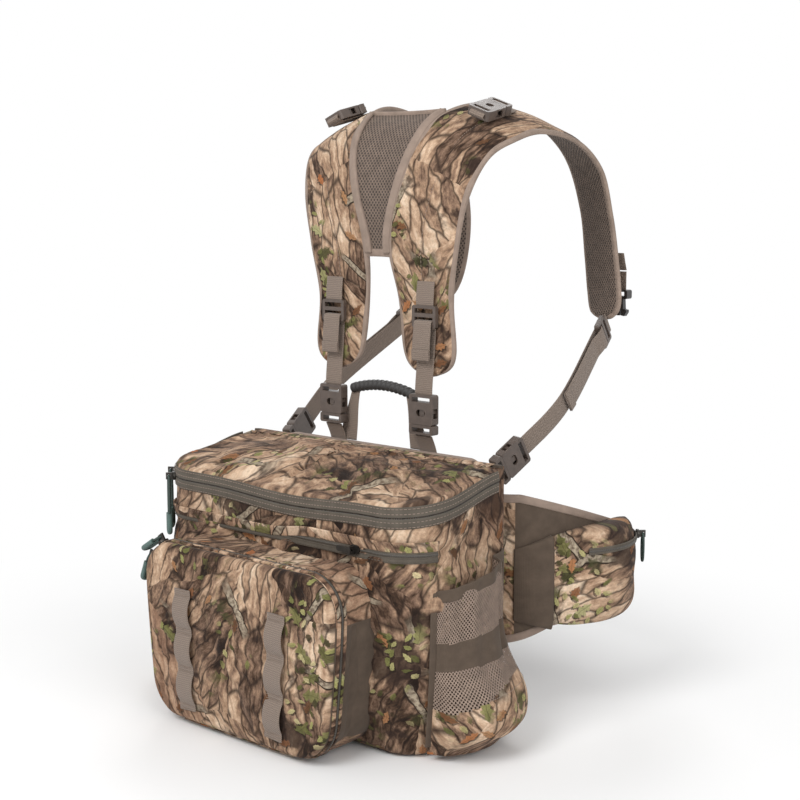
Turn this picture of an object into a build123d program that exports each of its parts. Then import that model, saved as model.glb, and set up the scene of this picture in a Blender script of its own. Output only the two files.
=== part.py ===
"""Hunting lumbar pack with a shoulder harness.

Millimetres, +Z up. The wearer faces +Y, so the bag hangs on the -Y side and +X is the
wearer's right. The origin lies on the flat base that the bag stands on.
"""
import os
from math import atan2, cos, radians, sin, tan

from build123d import *

os.makedirs("parts", exist_ok=True)

# ---------------------------------------------------------------- general fits
GAP = 0.3              # soft piece to its neighbour
RUN = 0.5              # between two pieces that move against each other
WEB_W = 25.0           # webbing width
WEB_T = 2.0            # webbing thickness
ROUND_END = 0.9        # rounding of a webbing's end that turns where it is sewn
OVER = 1.2             # a block that is cut down starts this many times as tall
FAR = 2.0              # and its cutter reaches this many times past the bag

# ---------------------------------------------------------------- main bag
BAG_W = 390.0          # width at the main zip
BAG_FRONT = -80.0      # outer face of the front wall
BAG_REAR = 75.0        # outer face of the rear wall
FRONT_R = 52.0         # front corners in plan
REAR_R = 14.0
WALL = 6.0             # padded fabric wall
FLOOR_T = 9.0
BASE_R = 16.0          # rounding round the base
ZIP_FRONT_Z = 255.0    # the main zip's seam falls towards the front
ZIP_REAR_Z = 273.0
ROOF_FRONT_RISE = 14.0
HINGE_Z = 291.0        # top edge of the rear wall, where the lid folds
LID_WALL = 4.0
LID_EDGE_R = 5.0

ZIP_T = 2.0            # tape and coil stand this proud
ZIP_TAPE = 9.0         # width of one half of the main zip
ZIP_SMALL = 8.0        # whole width of a pocket zip

# ---------------------------------------------------------------- back and belt
SHEET_T = 2.0
PAD_T = 20.0
PAD_W = 310.0
PAD_TOP_R = 40.0
PAD_BASE_R = 30.0
CHANNEL_W = 26.0       # air channel down the back pad
CHANNEL_T = 6.0
WING_T = 10.0
WING_ROOT = (PAD_W / 2, 86.0)
WING_ROUTE = [WING_ROOT, (190, 110), (211, 160), (216, 215), (210, 260), (195, 300)]
WING_ROOT_BASE = 70.0
WING_ROOT_TOP = 250.0
WING_ROOT_L = 30.0     # stretch at the root that keeps its full height
WING_TIP_Z = 152.0
WING_TIP_R = 30.0
BELT_W = 38.0          # waist webbing
BELT_T = 2.4
BELT_FRONT_Y = 358.0
BELT_BEND = (150, 12)  # where the webbing turns forwards: x, and how far behind its front run
BELT_FLAT_X = 60.0     # from here inwards its front run is straight
POUCH_Z = 158.0        # middle of the belt pouch
POUCH_H = 108.0
POUCH_BULGE = 42.0
POUCH_WALL = 2.5
POUCH_R = 15.0
POUCH_FROM = 0.26      # shares of the wing's length between which the pouch lies
POUCH_TO = 0.90
BACK_POINTS = 9        # points that carry its back along the wing

# ---------------------------------------------------------------- pockets
POCKET_W = 285.0
POCKET_BASE = 6.0
POCKET_TOP = 200.0
POCKET_R = 40.0
POCKET_WALL = 3.0
GUSSET_D = 58.0
PANEL_T = 9.0
PANEL_EDGE_R = 6.0
DAISY_X = 72.0
DAISY_BASE = 22.0
DAISY_LOOPS = 3
DAISY_PITCH = 42.0
DAISY_TACK = 8.0
DAISY_RISE = 3.5
SLASH_Z = 218.0        # slim zip of the flat pocket above the front pocket
SLASH_CLOSED_X = 118.0 # where its slider rests

BOTTLE_X = 172.0       # centre of the mesh pocket's oval plan
BOTTLE_Y = 5.0
BOTTLE_RX = 52.0
BOTTLE_RY = 64.0
BOTTLE_WALL = 3.0
BOTTLE_BASE = 7.0
BOTTLE_FRONT_Z = 178.0
BOTTLE_REAR_Z = 206.0

# ---------------------------------------------------------------- buckles
BUCKLE_T = 11.0
BUCKLE_SIDE = 4.5      # frame beside the webbing
SOCKET_L = 34.0
PLUG_BASE = 11.0
PRONG_L = 21.0
BAR = 3.4              # bar that the webbing loops round
SLOT = 5.2             # slot beside the bar
SHELL = 2.0            # wall round the socket's mouth
TOP_WEB_W = 20.0       # webbing of the shoulder-top and chest buckles
LADDER_L = 25.0
LADDER_T = 5.0
LADDER_RIB = 0.8
LOWER_BAR = 6.8        # ribbed bar that the strap runs round
LADDER_TAB_L = 6.4     # webbing that sews the front ladder lock to the pad
CORD_GAP = 0.4         # between the two ends of a pull's cord, inside the eye

# ---------------------------------------------------------------- harness
SHOULDER_T = 10.0
YOKE_T = 3.0
REAR_STRAP_X = 69.0
REAR_STRAP_Y = 83.0    # middle plane of the rear buckles
REAR_BUCKLE_Z = 322.0  # mouth of the rear sockets
REAR_LADDER_Z = 430.0
# y, z, inner x and outer x of the right shoulder pad, from the rear end over the shoulder,
# and the roll in degrees that lays its outer edge down on the body
SHOULDER = [
    (95, 375, 55, 82, 0), (95, 384, 42, 96, 0), (95, 405, 31, 104, 0), (95, 460, 24, 100, 0),
    (88, 520, 20, 110, 4), (88, 575, 40, 122, 8), (104, 622, 62, 136, 14),
    (137, 649, 72, 148, 20), (190, 661, 80, 154, 22), (262, 648, 84, 156, 22),
    (320, 612, 84, 154, 24), (346, 555, 84, 154, 26), (350, 500, 90, 160, 25),
    (344, 458, 100, 168, 25), (334, 436, 118, 168, 22), (330, 429, 134, 162, 20),
]
YOKE_FIRST = 4         # stations between which the mesh yoke spans the pads
YOKE_LAST = 7

SIDE_START = (156.4, 88.0, 268.0)   # where the side strap leaves the back pad
SIDE_END = (153.0, 303.0, 407.0)    # the front ladder lock's lower edge
SIDE_TAIL = 96.0                    # free end left past the ladder lock
REAR_TAIL = 36.0
SIDE_BULGE = 20.0                   # the strap bows out round the ribs
SIDE_BUCKLE = 26.0                  # from its start to the socket's mouth
BOW_SHARE = 0.42                    # share of its chord over which it bows out, and back
STRAP_ENTRY = 16.0                  # a strap runs flat behind its ladder lock from here
STRAP_EXIT = 2.0                    # and in front of it down to here
TAIL_STAND = 1.4                    # the free end stands off the lock this many times

CHEST_STATION = 12     # the chest strap halves hang undone from the pads here
STERNUM_X = 146.0
STERNUM_Z = 484.0
STERNUM_WEB_L = 22.0
TOP_STATION = 7        # the shoulder-top buckles lie between this station and the next
TOP_INSET = 11.0       # from the pad's middle line
TOP_LIFT = 1.3         # lets the flat tab lie over the pad's twist

# ---------------------------------------------------------------- handle
HANDLE_X = 54.0
HANDLE_TOP_X = 46.0
HANDLE_Y = 92.5
GRIP_Z = 352.0
GRIP_RISE = 7.0
GRIP_R = 6.5

# ---------------------------------------------------------------- zip pulls
CORD_R = 1.5
LOOP_HALF = 4.6        # half the width of a pull's cord loop
LOOP_L = 66.0
SHORT_LOOP_L = 32.0
GRIP_TUBE_R = 3.0
GRIP_L = 22.0
EYE_R = 1.9
SLIDER_W = 10.0
SLIDER_L = 13.0
SLIDER_PLATE = 2.4
FIN_T = 2.4
FIN_H = 8.0
EYE_OUT = 5.0          # eye's centre above the slider's plate
GRIP_FIT = 0.1         # round the cord, inside a grip
TAB_L = 20.0           # moulded tab of the slider that has no cord
TAB_W = 6.0
TAB_T = 1.6
MAIN_ANGLES = {"rear": 212.0, "front": 236.0}   # rest places round the left front corner
FRONT_ANGLES = {"side": 158.0, "top": 126.0}    # round the front pocket's upper left corner
FRONT_LEAN = {"side": 22.0, "top": 58.0}        # how far each pull leans out from hanging
POUCH_ANGLE = 44.0


def zip_z(y):
    """Height of the main zip's seam at a distance y."""
    slope = (ZIP_REAR_Z - ZIP_FRONT_Z) / (BAG_REAR - BAG_FRONT)
    return ZIP_FRONT_Z + slope * (y - BAG_FRONT)


def finish(part, name):
    """Labels a finished piece and writes it."""
    part.label = name
    export_step(part, f"parts/{name}.step")


def finish_pair(right, name):
    """Writes a right-hand piece and its mirror image."""
    with BuildPart() as left:
        mirror(right, about=Plane.YZ)
    finish(right, f"{name}_right")
    finish(left.part, f"{name}_left")


def bag_plan(grow=0.0):
    """D-shaped plan of the bag, grown or shrunk by an even margin."""
    with BuildSketch() as plan:
        with Locations((0, (BAG_FRONT + BAG_REAR) / 2)):
            Rectangle(BAG_W + 2 * grow, BAG_REAR - BAG_FRONT + 2 * grow)
        corners = plan.vertices().sort_by(Axis.Y)
        fillet(corners[:2], FRONT_R + grow)
        fillet(corners[2:], max(REAR_R + grow, 1))
    return plan.sketch


def side_slab(points, half_width):
    """A slab drawn in side view (y, z) and extruded across the bag."""
    with BuildPart() as slab:
        with BuildSketch(Plane.YZ):
            with BuildLine():
                Polyline(*points, close=True)
            make_face()
        extrude(amount=half_width, both=True)
    return slab.part


def between_seams(low, high, y_rear):
    """Everything between two lines parallel to the zip seam, ahead of y_rear."""
    far = BAG_FRONT - BAG_W
    points = [
        (far, zip_z(far) + low), (y_rear, zip_z(y_rear) + low),
        (y_rear, zip_z(y_rear) + high), (far, zip_z(far) + high),
    ]
    return side_slab(points, BAG_W)


# ================================================================ bag shell
INNER_REAR = BAG_REAR - WALL
with BuildPart() as bag_shell:
    with BuildSketch():
        add(bag_plan())
    extrude(amount=HINGE_Z)
    fillet(bag_shell.faces().sort_by(Axis.Z)[0].edges(), BASE_R)
    with BuildSketch(Plane.XY.offset(FLOOR_T)):
        add(bag_plan(-WALL))
    extrude(amount=HINGE_Z, mode=Mode.SUBTRACT)
    add(between_seams(0, BAG_W, INNER_REAR), mode=Mode.SUBTRACT)
finish(bag_shell.part, "bag_shell")

# ================================================================ lid
LID_REAR = INNER_REAR - RUN


def roof_cut(drop=0.0):
    """Everything above the lid's sloping roof."""
    far = BAG_FRONT - BAG_W
    front = ZIP_FRONT_Z + ROOF_FRONT_RISE - drop
    rear = HINGE_Z - drop
    slope = (rear - front) / (BAG_REAR - BAG_FRONT)
    points = [
        (far, front + slope * (far - BAG_FRONT)), (BAG_REAR * FAR, rear + slope * BAG_REAR * (FAR - 1)),
        (BAG_REAR * FAR, HINGE_Z * FAR), (far, HINGE_Z * FAR),
    ]
    return side_slab(points, BAG_W)


def lid_block(inset):
    """The lid as a solid block: the plan between the seam and the roof."""
    with BuildPart() as block:
        with BuildSketch():
            add(bag_plan(-inset))
        extrude(amount=HINGE_Z * OVER)
        add(roof_cut(inset), mode=Mode.SUBTRACT)
        add(between_seams(-BAG_W * FAR, RUN, BAG_REAR * FAR), mode=Mode.SUBTRACT)
        with Locations((0, LID_REAR - inset + BAG_W / 2, HINGE_Z)):
            Box(BAG_W * FAR, BAG_W, HINGE_Z * FAR, mode=Mode.SUBTRACT)
    return block.part


with BuildPart() as lid:
    add(lid_block(0))
    roof = lid.faces().filter_by(lambda face: face.normal_at().Z > 0.5)[0]
    fillet(roof.edges().filter_by(lambda e: e.center().Y < LID_REAR - RUN), LID_EDGE_R)
    add(lid_block(LID_WALL), mode=Mode.SUBTRACT)
finish(lid.part, "lid")


# ================================================================ zips
def main_zip_half(low, high):
    """One half of the main zip: a band round the front and sides, along the seam."""
    with BuildPart() as band:
        with BuildSketch():
            add(bag_plan(ZIP_T))
            add(bag_plan(), mode=Mode.SUBTRACT)
        extrude(amount=HINGE_Z * OVER)
        add(between_seams(low, high, LID_REAR - REAR_R), mode=Mode.INTERSECT)
    return band.part


finish(main_zip_half(RUN, ZIP_TAPE), "main_zip_upper")


def pocket_outline(shrink=0.0):
    """Rounded front view of the front pocket, drawn in x and z."""
    with BuildSketch(Plane.XZ) as outline:
        with Locations((0, (POCKET_TOP + POCKET_BASE) / 2)):
            RectangleRounded(
                POCKET_W - 2 * shrink, POCKET_TOP - POCKET_BASE - 2 * shrink, POCKET_R - shrink
            )
    return outline.sketch


GUSSET_FRONT = BAG_FRONT - GUSSET_D
PANEL_BACK = GUSSET_FRONT - RUN
PANEL_FRONT = PANEL_BACK - PANEL_T
FRONT_ZIP_Y = GUSSET_FRONT + 8.0      # middle of the front pocket's zip

with BuildPart() as front_pocket_gusset:
    with BuildSketch(Plane.XZ.offset(-BAG_FRONT)):
        add(pocket_outline())
        add(pocket_outline(POCKET_WALL), mode=Mode.SUBTRACT)
    extrude(amount=GUSSET_D)
finish(front_pocket_gusset.part, "front_pocket_gusset")

with BuildPart() as front_panel:
    with BuildSketch(Plane.XZ.offset(-PANEL_BACK)):
        add(pocket_outline())
    extrude(amount=PANEL_T)
    fillet(front_panel.faces().sort_by(Axis.Y)[0].edges(), PANEL_EDGE_R)
finish(front_panel.part, "front_panel")

# The daisy chains: webbing tacked flat, standing off the panel in loops between the tacks.
daisy_y = PANEL_FRONT - GAP - WEB_T / 2
with BuildPart() as daisy_chains:
    with BuildSketch(Plane.YZ.offset(DAISY_X)):
        with BuildLine():
            for i in range(DAISY_LOOPS):
                low = DAISY_BASE + i * DAISY_PITCH
                start = (daisy_y, low + DAISY_TACK)
                end = (daisy_y, low + DAISY_PITCH)
                crest = (daisy_y - DAISY_RISE, (start[1] + end[1]) / 2)
                Line((daisy_y, low), start)
                ThreePointArc(start, crest, end)
            top = DAISY_BASE + DAISY_LOOPS * DAISY_PITCH
            Line((daisy_y, top), (daisy_y, top + DAISY_TACK))
        trace(line_width=WEB_T)
    extrude(amount=WEB_W / 2, both=True)
    mirror(about=Plane.YZ)
finish(daisy_chains.part, "daisy_chains")

# ================================================================ bottle pockets
with BuildPart() as bottle_pocket:
    with BuildSketch(Plane.XY.offset(BOTTLE_BASE)):
        with Locations((BOTTLE_X, BOTTLE_Y)):
            Ellipse(BOTTLE_RX, BOTTLE_RY)
        add(bag_plan(GAP), mode=Mode.SUBTRACT)
    extrude(amount=BOTTLE_REAR_Z)
    with BuildSketch(Plane.XY.offset(BOTTLE_BASE + BOTTLE_WALL)):
        with Locations((BOTTLE_X, BOTTLE_Y)):
            Ellipse(BOTTLE_RX - BOTTLE_WALL, BOTTLE_RY - BOTTLE_WALL)
    extrude(amount=BOTTLE_REAR_Z, mode=Mode.SUBTRACT)
    mouth = [
        (BOTTLE_Y - BOTTLE_RY, BOTTLE_FRONT_Z), (BOTTLE_Y + BOTTLE_RY, BOTTLE_REAR_Z),
        (BOTTLE_Y + BOTTLE_RY, BOTTLE_REAR_Z * 2), (BOTTLE_Y - BOTTLE_RY, BOTTLE_REAR_Z * 2),
    ]
    add(side_slab(mouth, BAG_W), mode=Mode.SUBTRACT)
finish_pair(bottle_pocket.part, "bottle_pocket")

# ================================================================ back pad and stiffener
SHEET_W = PAD_W - 2 * PAD_BASE_R
SHEET_H = HINGE_Z - 2 * BASE_R
SHEET_Z = HINGE_Z / 2
PAD_TOP = HINGE_Z - 1
with BuildPart() as frame_sheet:
    with BuildSketch(Plane.XZ.offset(-BAG_REAR - SHEET_T)):
        with Locations((0, SHEET_Z)):
            RectangleRounded(SHEET_W, SHEET_H, BASE_R)
    extrude(amount=SHEET_T)
finish(frame_sheet.part, "frame_sheet")

with BuildPart() as back_pad:
    with BuildSketch(Plane.XZ.offset(-BAG_REAR - PAD_T)):
        with Locations((0, PAD_TOP / 2)):
            Rectangle(PAD_W, PAD_TOP)
    extrude(amount=PAD_T)
    uprights = back_pad.edges().filter_by(Axis.Y).sort_by(Axis.Z)
    chamfer(uprights[2:], PAD_TOP_R / 2)
    # Sleeve for the stiffener.
    with BuildSketch(Plane.XZ.offset(-BAG_REAR - SHEET_T)):
        with Locations((0, SHEET_Z)):
            RectangleRounded(SHEET_W + GAP, SHEET_H + GAP, BASE_R)
    extrude(amount=SHEET_T, mode=Mode.SUBTRACT)
    # Air channel down the middle of the wearer's side.
    with BuildSketch(Plane.XZ.offset(-BAG_REAR - PAD_T)):
        with Locations((0, SHEET_Z)):
            Rectangle(CHANNEL_W, HINGE_Z * 2)
    extrude(amount=CHANNEL_T, mode=Mode.SUBTRACT)
finish(back_pad.part, "back_pad")


# ================================================================ belt wings and pouches
def offset_point(path, at, away):
    """A point beside a path in plan, away to its outer side."""
    tangent = path.tangent_at(at)
    return path.position_at(at) + Vector(tangent.Y, -tangent.X).normalized() * away


with BuildLine(mode=Mode.PRIVATE) as wing_line:
    Spline(*WING_ROUTE, tangents=[(1, 0), (-0.4, 1)])
wing_path = wing_line.edges()[0]

with BuildPart() as belt_wing:
    with BuildSketch():
        trace(wing_path, line_width=WING_T)
    extrude(amount=HINGE_Z)
    tip_y = WING_ROUTE[-1][1] + WING_T
    root_y = WING_ROOT[1] - WING_T
    with BuildSketch(Plane.YZ):
        with BuildLine():
            Polyline(
                (root_y, WING_ROOT_BASE), (root_y + WING_ROOT_L, WING_ROOT_BASE),
                (tip_y, WING_TIP_Z - WING_TIP_R), (tip_y, WING_TIP_Z + WING_TIP_R),
                (root_y + WING_ROOT_L, WING_ROOT_TOP), (root_y, WING_ROOT_TOP), close=True,
            )
        make_face()
    extrude(amount=BAG_W, mode=Mode.INTERSECT)
finish_pair(belt_wing.part, "belt_wing")

face_away = WING_T / 2 + 2 * GAP
pouch_arc = ThreePointArc(
    offset_point(wing_path, POUCH_FROM, face_away),
    offset_point(wing_path, (POUCH_FROM + POUCH_TO) / 2, POUCH_BULGE),
    offset_point(wing_path, POUCH_TO, face_away),
)
pouch_centre = pouch_arc.arc_center
pouch_radius = pouch_arc.radius


def pouch_block(shrink):
    """A belt pouch as a solid: a wheel with a rounded rim, cut off along the wing."""
    radius = pouch_radius - shrink
    span = POUCH_TO - POUCH_FROM
    with BuildPart() as block:
        with BuildSketch(Plane.XZ.offset(-pouch_centre.Y)):
            with Locations((pouch_centre.X + radius / 2, POUCH_Z)):
                rim = Rectangle(radius, POUCH_H - 2 * shrink)
            fillet(rim.vertices().sort_by(Axis.X)[2:], POUCH_R - shrink)
        revolve(axis=Axis((pouch_centre.X, pouch_centre.Y, 0), (0, 0, 1)))
        with BuildSketch():
            with BuildLine():
                back = Spline(*[
                    offset_point(
                        wing_path, POUCH_FROM + span * i / (BACK_POINTS - 1), face_away + shrink
                    )
                    for i in range(BACK_POINTS)
                ])
                Polyline(
                    back @ 1, (back @ 1) + Vector(BAG_W, 0), (back @ 0) + Vector(BAG_W, 0),
                    back @ 0,
                )
            make_face()
        extrude(amount=HINGE_Z, mode=Mode.INTERSECT)
    return block.part


with BuildPart() as belt_pouch:
    add(pouch_block(0))
    add(pouch_block(POUCH_WALL), mode=Mode.SUBTRACT)
finish_pair(belt_pouch.part, "belt_pouch")

# ================================================================ the bag's other zip chains
POUCH_ZIP_Z = POUCH_Z + POUCH_H / 2 - POUCH_R - ZIP_SMALL / 2 - 2
POUCH_ZIP_ANGLES = (-34.0, 50.0)      # from +X, about the pouch's arc centre


def front_zip():
    """Band round the top and sides of the front pocket's gusset."""
    with BuildPart() as band:
        with BuildSketch(Plane.XZ.offset(-FRONT_ZIP_Y - ZIP_SMALL / 2)):
            add(pocket_outline(-ZIP_T))
            add(pocket_outline(), mode=Mode.SUBTRACT)
            with Locations((0, POCKET_BASE)):
                Rectangle(BAG_W, 2 * POCKET_R, mode=Mode.SUBTRACT)
        extrude(amount=ZIP_SMALL)
    return band.part


def pouch_zip():
    """Band along the bowed face of the right belt pouch."""
    with BuildPart() as band:
        with BuildSketch(Plane.XY.offset(POUCH_ZIP_Z - ZIP_SMALL / 2)):
            with BuildLine():
                CenterArc(
                    pouch_centre, pouch_radius + GAP + ZIP_T / 2,
                    POUCH_ZIP_ANGLES[0], POUCH_ZIP_ANGLES[1] - POUCH_ZIP_ANGLES[0],
                )
            trace(line_width=ZIP_T)
        extrude(amount=ZIP_SMALL)
    return band.part


def slash_zip():
    """Band across the front, carried round both front corners."""
    with BuildPart() as band:
        with BuildSketch(Plane.XY.offset(SLASH_Z - ZIP_SMALL / 2)):
            add(bag_plan(ZIP_T))
            add(bag_plan(), mode=Mode.SUBTRACT)
            with Locations((0, BAG_FRONT)):
                Rectangle(2 * BAG_W, 1.5 * FRONT_R, mode=Mode.INTERSECT)
        extrude(amount=ZIP_SMALL)
    return band.part


with BuildPart() as zip_chains:
    add(main_zip_half(-ZIP_TAPE, -RUN / 2))
    add(front_zip())
    add(slash_zip())
    add(pouch_zip())
    mirror(pouch_zip(), about=Plane.YZ)
finish(zip_chains.part, "zip_chains")


# ================================================================ side-release buckle
def socket(plane, web=WEB_W):
    """Female half. Local y runs from its mouth towards its webbing, local z outwards."""
    width = web + 2 * BUCKLE_SIDE
    with BuildPart() as body:
        with BuildSketch(plane.offset(-BUCKLE_T / 2)):
            with Locations((0, SOCKET_L / 2)):
                RectangleRounded(width, SOCKET_L, 3)
        extrude(amount=BUCKLE_T)
        # Mouth for the prongs, with a window in each side wall and one in the front.
        depth = PRONG_L + RUN
        with BuildSketch(plane.offset(-BUCKLE_T / 2 + SHELL)):
            with Locations((0, depth / 2)):
                Rectangle(width - 2 * SHELL, depth)
            with Locations((0, depth * 0.62)):
                Rectangle(width * 2, depth * 0.5)
        extrude(amount=BUCKLE_T - 2 * SHELL, mode=Mode.SUBTRACT)
        with BuildSketch(plane):
            with Locations((0, depth * 0.62)):
                SlotOverall(web * 0.5, depth * 0.36)
        extrude(amount=BUCKLE_T, mode=Mode.SUBTRACT)
        # Slot that leaves a bar for the webbing.
        with BuildSketch(plane):
            with Locations((0, SOCKET_L - BAR - SLOT / 2)):
                Rectangle(web + 1, SLOT)
        extrude(amount=BUCKLE_T, both=True, mode=Mode.SUBTRACT)
    return body.part


def plug(plane, web=WEB_W):
    """Male half: a base with its webbing bar, two sprung side prongs and a middle guide."""
    width = web + 2 * BUCKLE_SIDE
    inner = width - 2 * SHELL - RUN
    prong_t = BUCKLE_T - 2 * SHELL - RUN
    with BuildPart() as body:
        with BuildSketch(plane.offset(-BUCKLE_T / 2)):
            with Locations((0, -PLUG_BASE / 2 - RUN / 2)):
                RectangleRounded(width, PLUG_BASE, 2.5)
            with Locations((0, -PLUG_BASE - RUN / 2 + BAR + SLOT / 2 - 1)):
                Rectangle(web + 1, SLOT, mode=Mode.SUBTRACT)
        extrude(amount=BUCKLE_T)
        with BuildSketch(plane.offset(-prong_t / 2)):
            with Locations((0, PRONG_L / 2 - 1)):
                Rectangle(inner * 0.22, PRONG_L)
            with BuildLine():
                side = inner / 2
                Polyline(
                    (side - 5, -1), (side - 4.2, PRONG_L - 9), (side, PRONG_L - 8),
                    (side, PRONG_L - 5), (side - 3, PRONG_L - 0.5), (side - 7, PRONG_L - 1),
                    (side - 8, -1), close=True,
                )
            make_face()
            mirror(about=Plane.YZ)
        extrude(amount=prong_t)
    return body.part


def ladder_lock(plane, web=WEB_W):
    """Three-bar adjuster. Local y = 0 at its lower edge, local z = 0 at its back."""
    width = web + 2 * BUCKLE_SIDE
    with BuildPart() as body:
        with BuildSketch(plane):
            with Locations((0, LADDER_L / 2)):
                RectangleRounded(width, LADDER_L, 3)
            with Locations((0, LOWER_BAR + SLOT / 2), (0, LADDER_L - BAR - SLOT / 2)):
                Rectangle(web + 1, SLOT, mode=Mode.SUBTRACT)
        extrude(amount=LADDER_T)
        # Ribs that bite the webbing on the lower bar.
        with BuildSketch(plane.offset(LADDER_T)):
            with Locations((0, 2), (0, 4.6)):
                Rectangle(web, 1)
        extrude(amount=LADDER_RIB)
    return body.part


def webbing(plane, route, width=WEB_W, thickness=WEB_T):
    """Webbing whose route is drawn in side view: local y along the strap, local z outwards."""
    profile = Plane(origin=plane.origin, x_dir=plane.y_dir, z_dir=plane.x_dir)
    with BuildPart() as strip:
        with BuildSketch(profile):
            with BuildLine():
                Polyline(*route)
            trace(line_width=thickness)
        extrude(amount=width / 2, both=True)
    return strip.part


# ================================================================ rear and side straps
def socket_plane(origin, along, outwards):
    """Plane of a buckle: local y runs along the strap, local z outwards."""
    return Plane(origin=origin, x_dir=along.cross(outwards), z_dir=outwards)


UP = Vector(0, 0, 1)
BACK = Vector(0, -1, 0)
rear_plane = socket_plane((REAR_STRAP_X, REAR_STRAP_Y, REAR_BUCKLE_Z), UP, BACK)
rear_ladder_y = SHOULDER[0][0] - SHOULDER_T / 2 - WEB_T - 2 * GAP
rear_ladder = socket_plane((REAR_STRAP_X, rear_ladder_y, REAR_LADDER_Z), UP, BACK)

# The side strap lies on a plane that holds its chord and the outward direction.
start = Vector(*SIDE_START)
chord = Vector(*SIDE_END) - start
chord_dir = chord.normalized()
out_dir = (Vector(1, 0, 0) - chord_dir * chord_dir.X).normalized()
lean = atan2(SIDE_BULGE, chord.length * BOW_SHARE)
side_dir = chord_dir * cos(lean) + out_dir * sin(lean)
side_out = out_dir * cos(lean) - chord_dir * sin(lean)
side_plane = socket_plane(start + side_dir * SIDE_BUCKLE, side_dir, side_out)
side_ladder = socket_plane(
    Vector(*SIDE_END), chord_dir * cos(lean) - out_dir * sin(lean),
    out_dir * cos(lean) + chord_dir * sin(lean),
)


def adjusting_strap(plane, ladder, tail, bow=()):
    """Strap from a socket's bar, round the lower bar of its ladder lock, to its free tail."""
    behind = ladder.z_dir * -(WEB_T / 2 + GAP)
    before = ladder.z_dir * (LADDER_T + LADDER_RIB + GAP + WEB_T / 2)
    over = ladder.origin + ladder.y_dir * (LOWER_BAR + GAP + WEB_T / 2)
    stations = [
        *bow, ladder.origin - ladder.y_dir * STRAP_ENTRY + behind, over + behind, over + before,
        ladder.origin - ladder.y_dir * STRAP_EXIT + before,
        ladder.origin - ladder.y_dir * tail + before * TAIL_STAND,
    ]
    route = [(SOCKET_L + GAP, 0)]
    for station in stations:
        local = plane.to_local_coords(station)
        route.append((local.Y, local.Z))
    return webbing(plane, route)


bow = [
    start + chord * share + out_dir * SIDE_BULGE for share in (BOW_SHARE, 1 - BOW_SHARE)
]
finish_pair(adjusting_strap(rear_plane, rear_ladder, REAR_TAIL), "rear_strap")
finish_pair(adjusting_strap(side_plane, side_ladder, SIDE_TAIL, bow), "side_strap")
finish_pair(socket(rear_plane), "rear_socket")
finish_pair(socket(side_plane), "side_socket")


def both_sides(*rights):
    """One node of right-hand pieces and their mirror images, as separate solids."""
    with BuildPart() as group:
        for right in rights:
            add(right)
            mirror(right, about=Plane.YZ)
    return group.part


finish(both_sides(plug(rear_plane), plug(side_plane)), "strap_plugs")
finish(both_sides(ladder_lock(rear_ladder), ladder_lock(side_ladder)), "ladder_locks")


# ================================================================ shoulder pads and yoke
def station_plane(index):
    """Section plane of the harness at one station, square to its side profile."""
    last = len(SHOULDER) - 1
    before = SHOULDER[max(index - 1, 0)]
    after = SHOULDER[min(index + 1, last)]
    run = Vector(0, after[0] - before[0], after[1] - before[1])
    y, z = SHOULDER[index][:2]
    return Plane(origin=(0, y, z), x_dir=(1, 0, 0), z_dir=run)


with BuildPart() as shoulder_pad:
    for index, (_, _, inner, outer, roll) in enumerate(SHOULDER):
        with BuildSketch(station_plane(index)):
            with Locations(((inner + outer) / 2, 0)):
                Rectangle(outer - inner, SHOULDER_T, rotation=roll)
    loft(ruled=True)
finish_pair(shoulder_pad.part, "shoulder_pad")

with BuildPart() as yoke_mesh:
    # Each section meets the inner edges of the two rolled pads.
    for index in range(YOKE_FIRST, YOKE_LAST + 1):
        inner, outer = SHOULDER[index][2:4]
        roll = radians(SHOULDER[index][4])
        half_pad = (outer - inner) / 2
        edge_x = (inner + outer) / 2 - half_pad * cos(roll) - SHOULDER_T / 2 * sin(roll)
        with BuildSketch(station_plane(index)):
            with Locations((0, -half_pad * sin(roll))):
                Rectangle(2 * (edge_x - GAP), YOKE_T)
    loft(ruled=True)
finish(yoke_mesh.part, "yoke_mesh")

# ================================================================ shoulder-top buckles
def along_pad(index):
    """Middle of the pad's stretch after one station: its frame with local z off the body."""
    y_a, z_a, inner_a, outer_a, roll_a = SHOULDER[index]
    y_b, z_b, inner_b, outer_b, roll_b = SHOULDER[index + 1]
    run = Vector(0, y_b - y_a, z_b - z_a)
    roll = radians((roll_a + roll_b) / 2)
    off_body = Vector(1, 0, 0).cross(run.normalized())
    outwards = off_body * cos(roll) + Vector(1, 0, 0) * sin(roll)
    middle = Vector((inner_a + outer_a + inner_b + outer_b) / 4, (y_a + y_b) / 2, (z_a + z_b) / 2)
    return socket_plane(middle, -run.normalized(), outwards), run.length


pad_top_plane, top_run = along_pad(TOP_STATION)
top_web_out = SHOULDER_T / 2 + TOP_LIFT + WEB_T / 2
top_out = top_web_out + WEB_T / 2 + GAP + BUCKLE_T / 2
top_plane = pad_top_plane.offset(top_out)
top_plane.origin += top_plane.x_dir * TOP_INSET
finish(both_sides(socket(top_plane, TOP_WEB_W)), "top_sockets")
finish_pair(plug(top_plane, TOP_WEB_W), "top_plug")

# ================================================================ chest strap halves
# Undone: each half hangs from its pad by a short webbing, and swings there.
AHEAD = Vector(0, 1, 0)


def chest_face(x):
    """Front face of the pad at its chest station."""
    y, _, inner, outer, roll = SHOULDER[CHEST_STATION]
    fall = (x - (inner + outer) / 2) * tan(radians(roll))
    return y + SHOULDER_T / 2 / cos(radians(roll)) - fall


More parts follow.
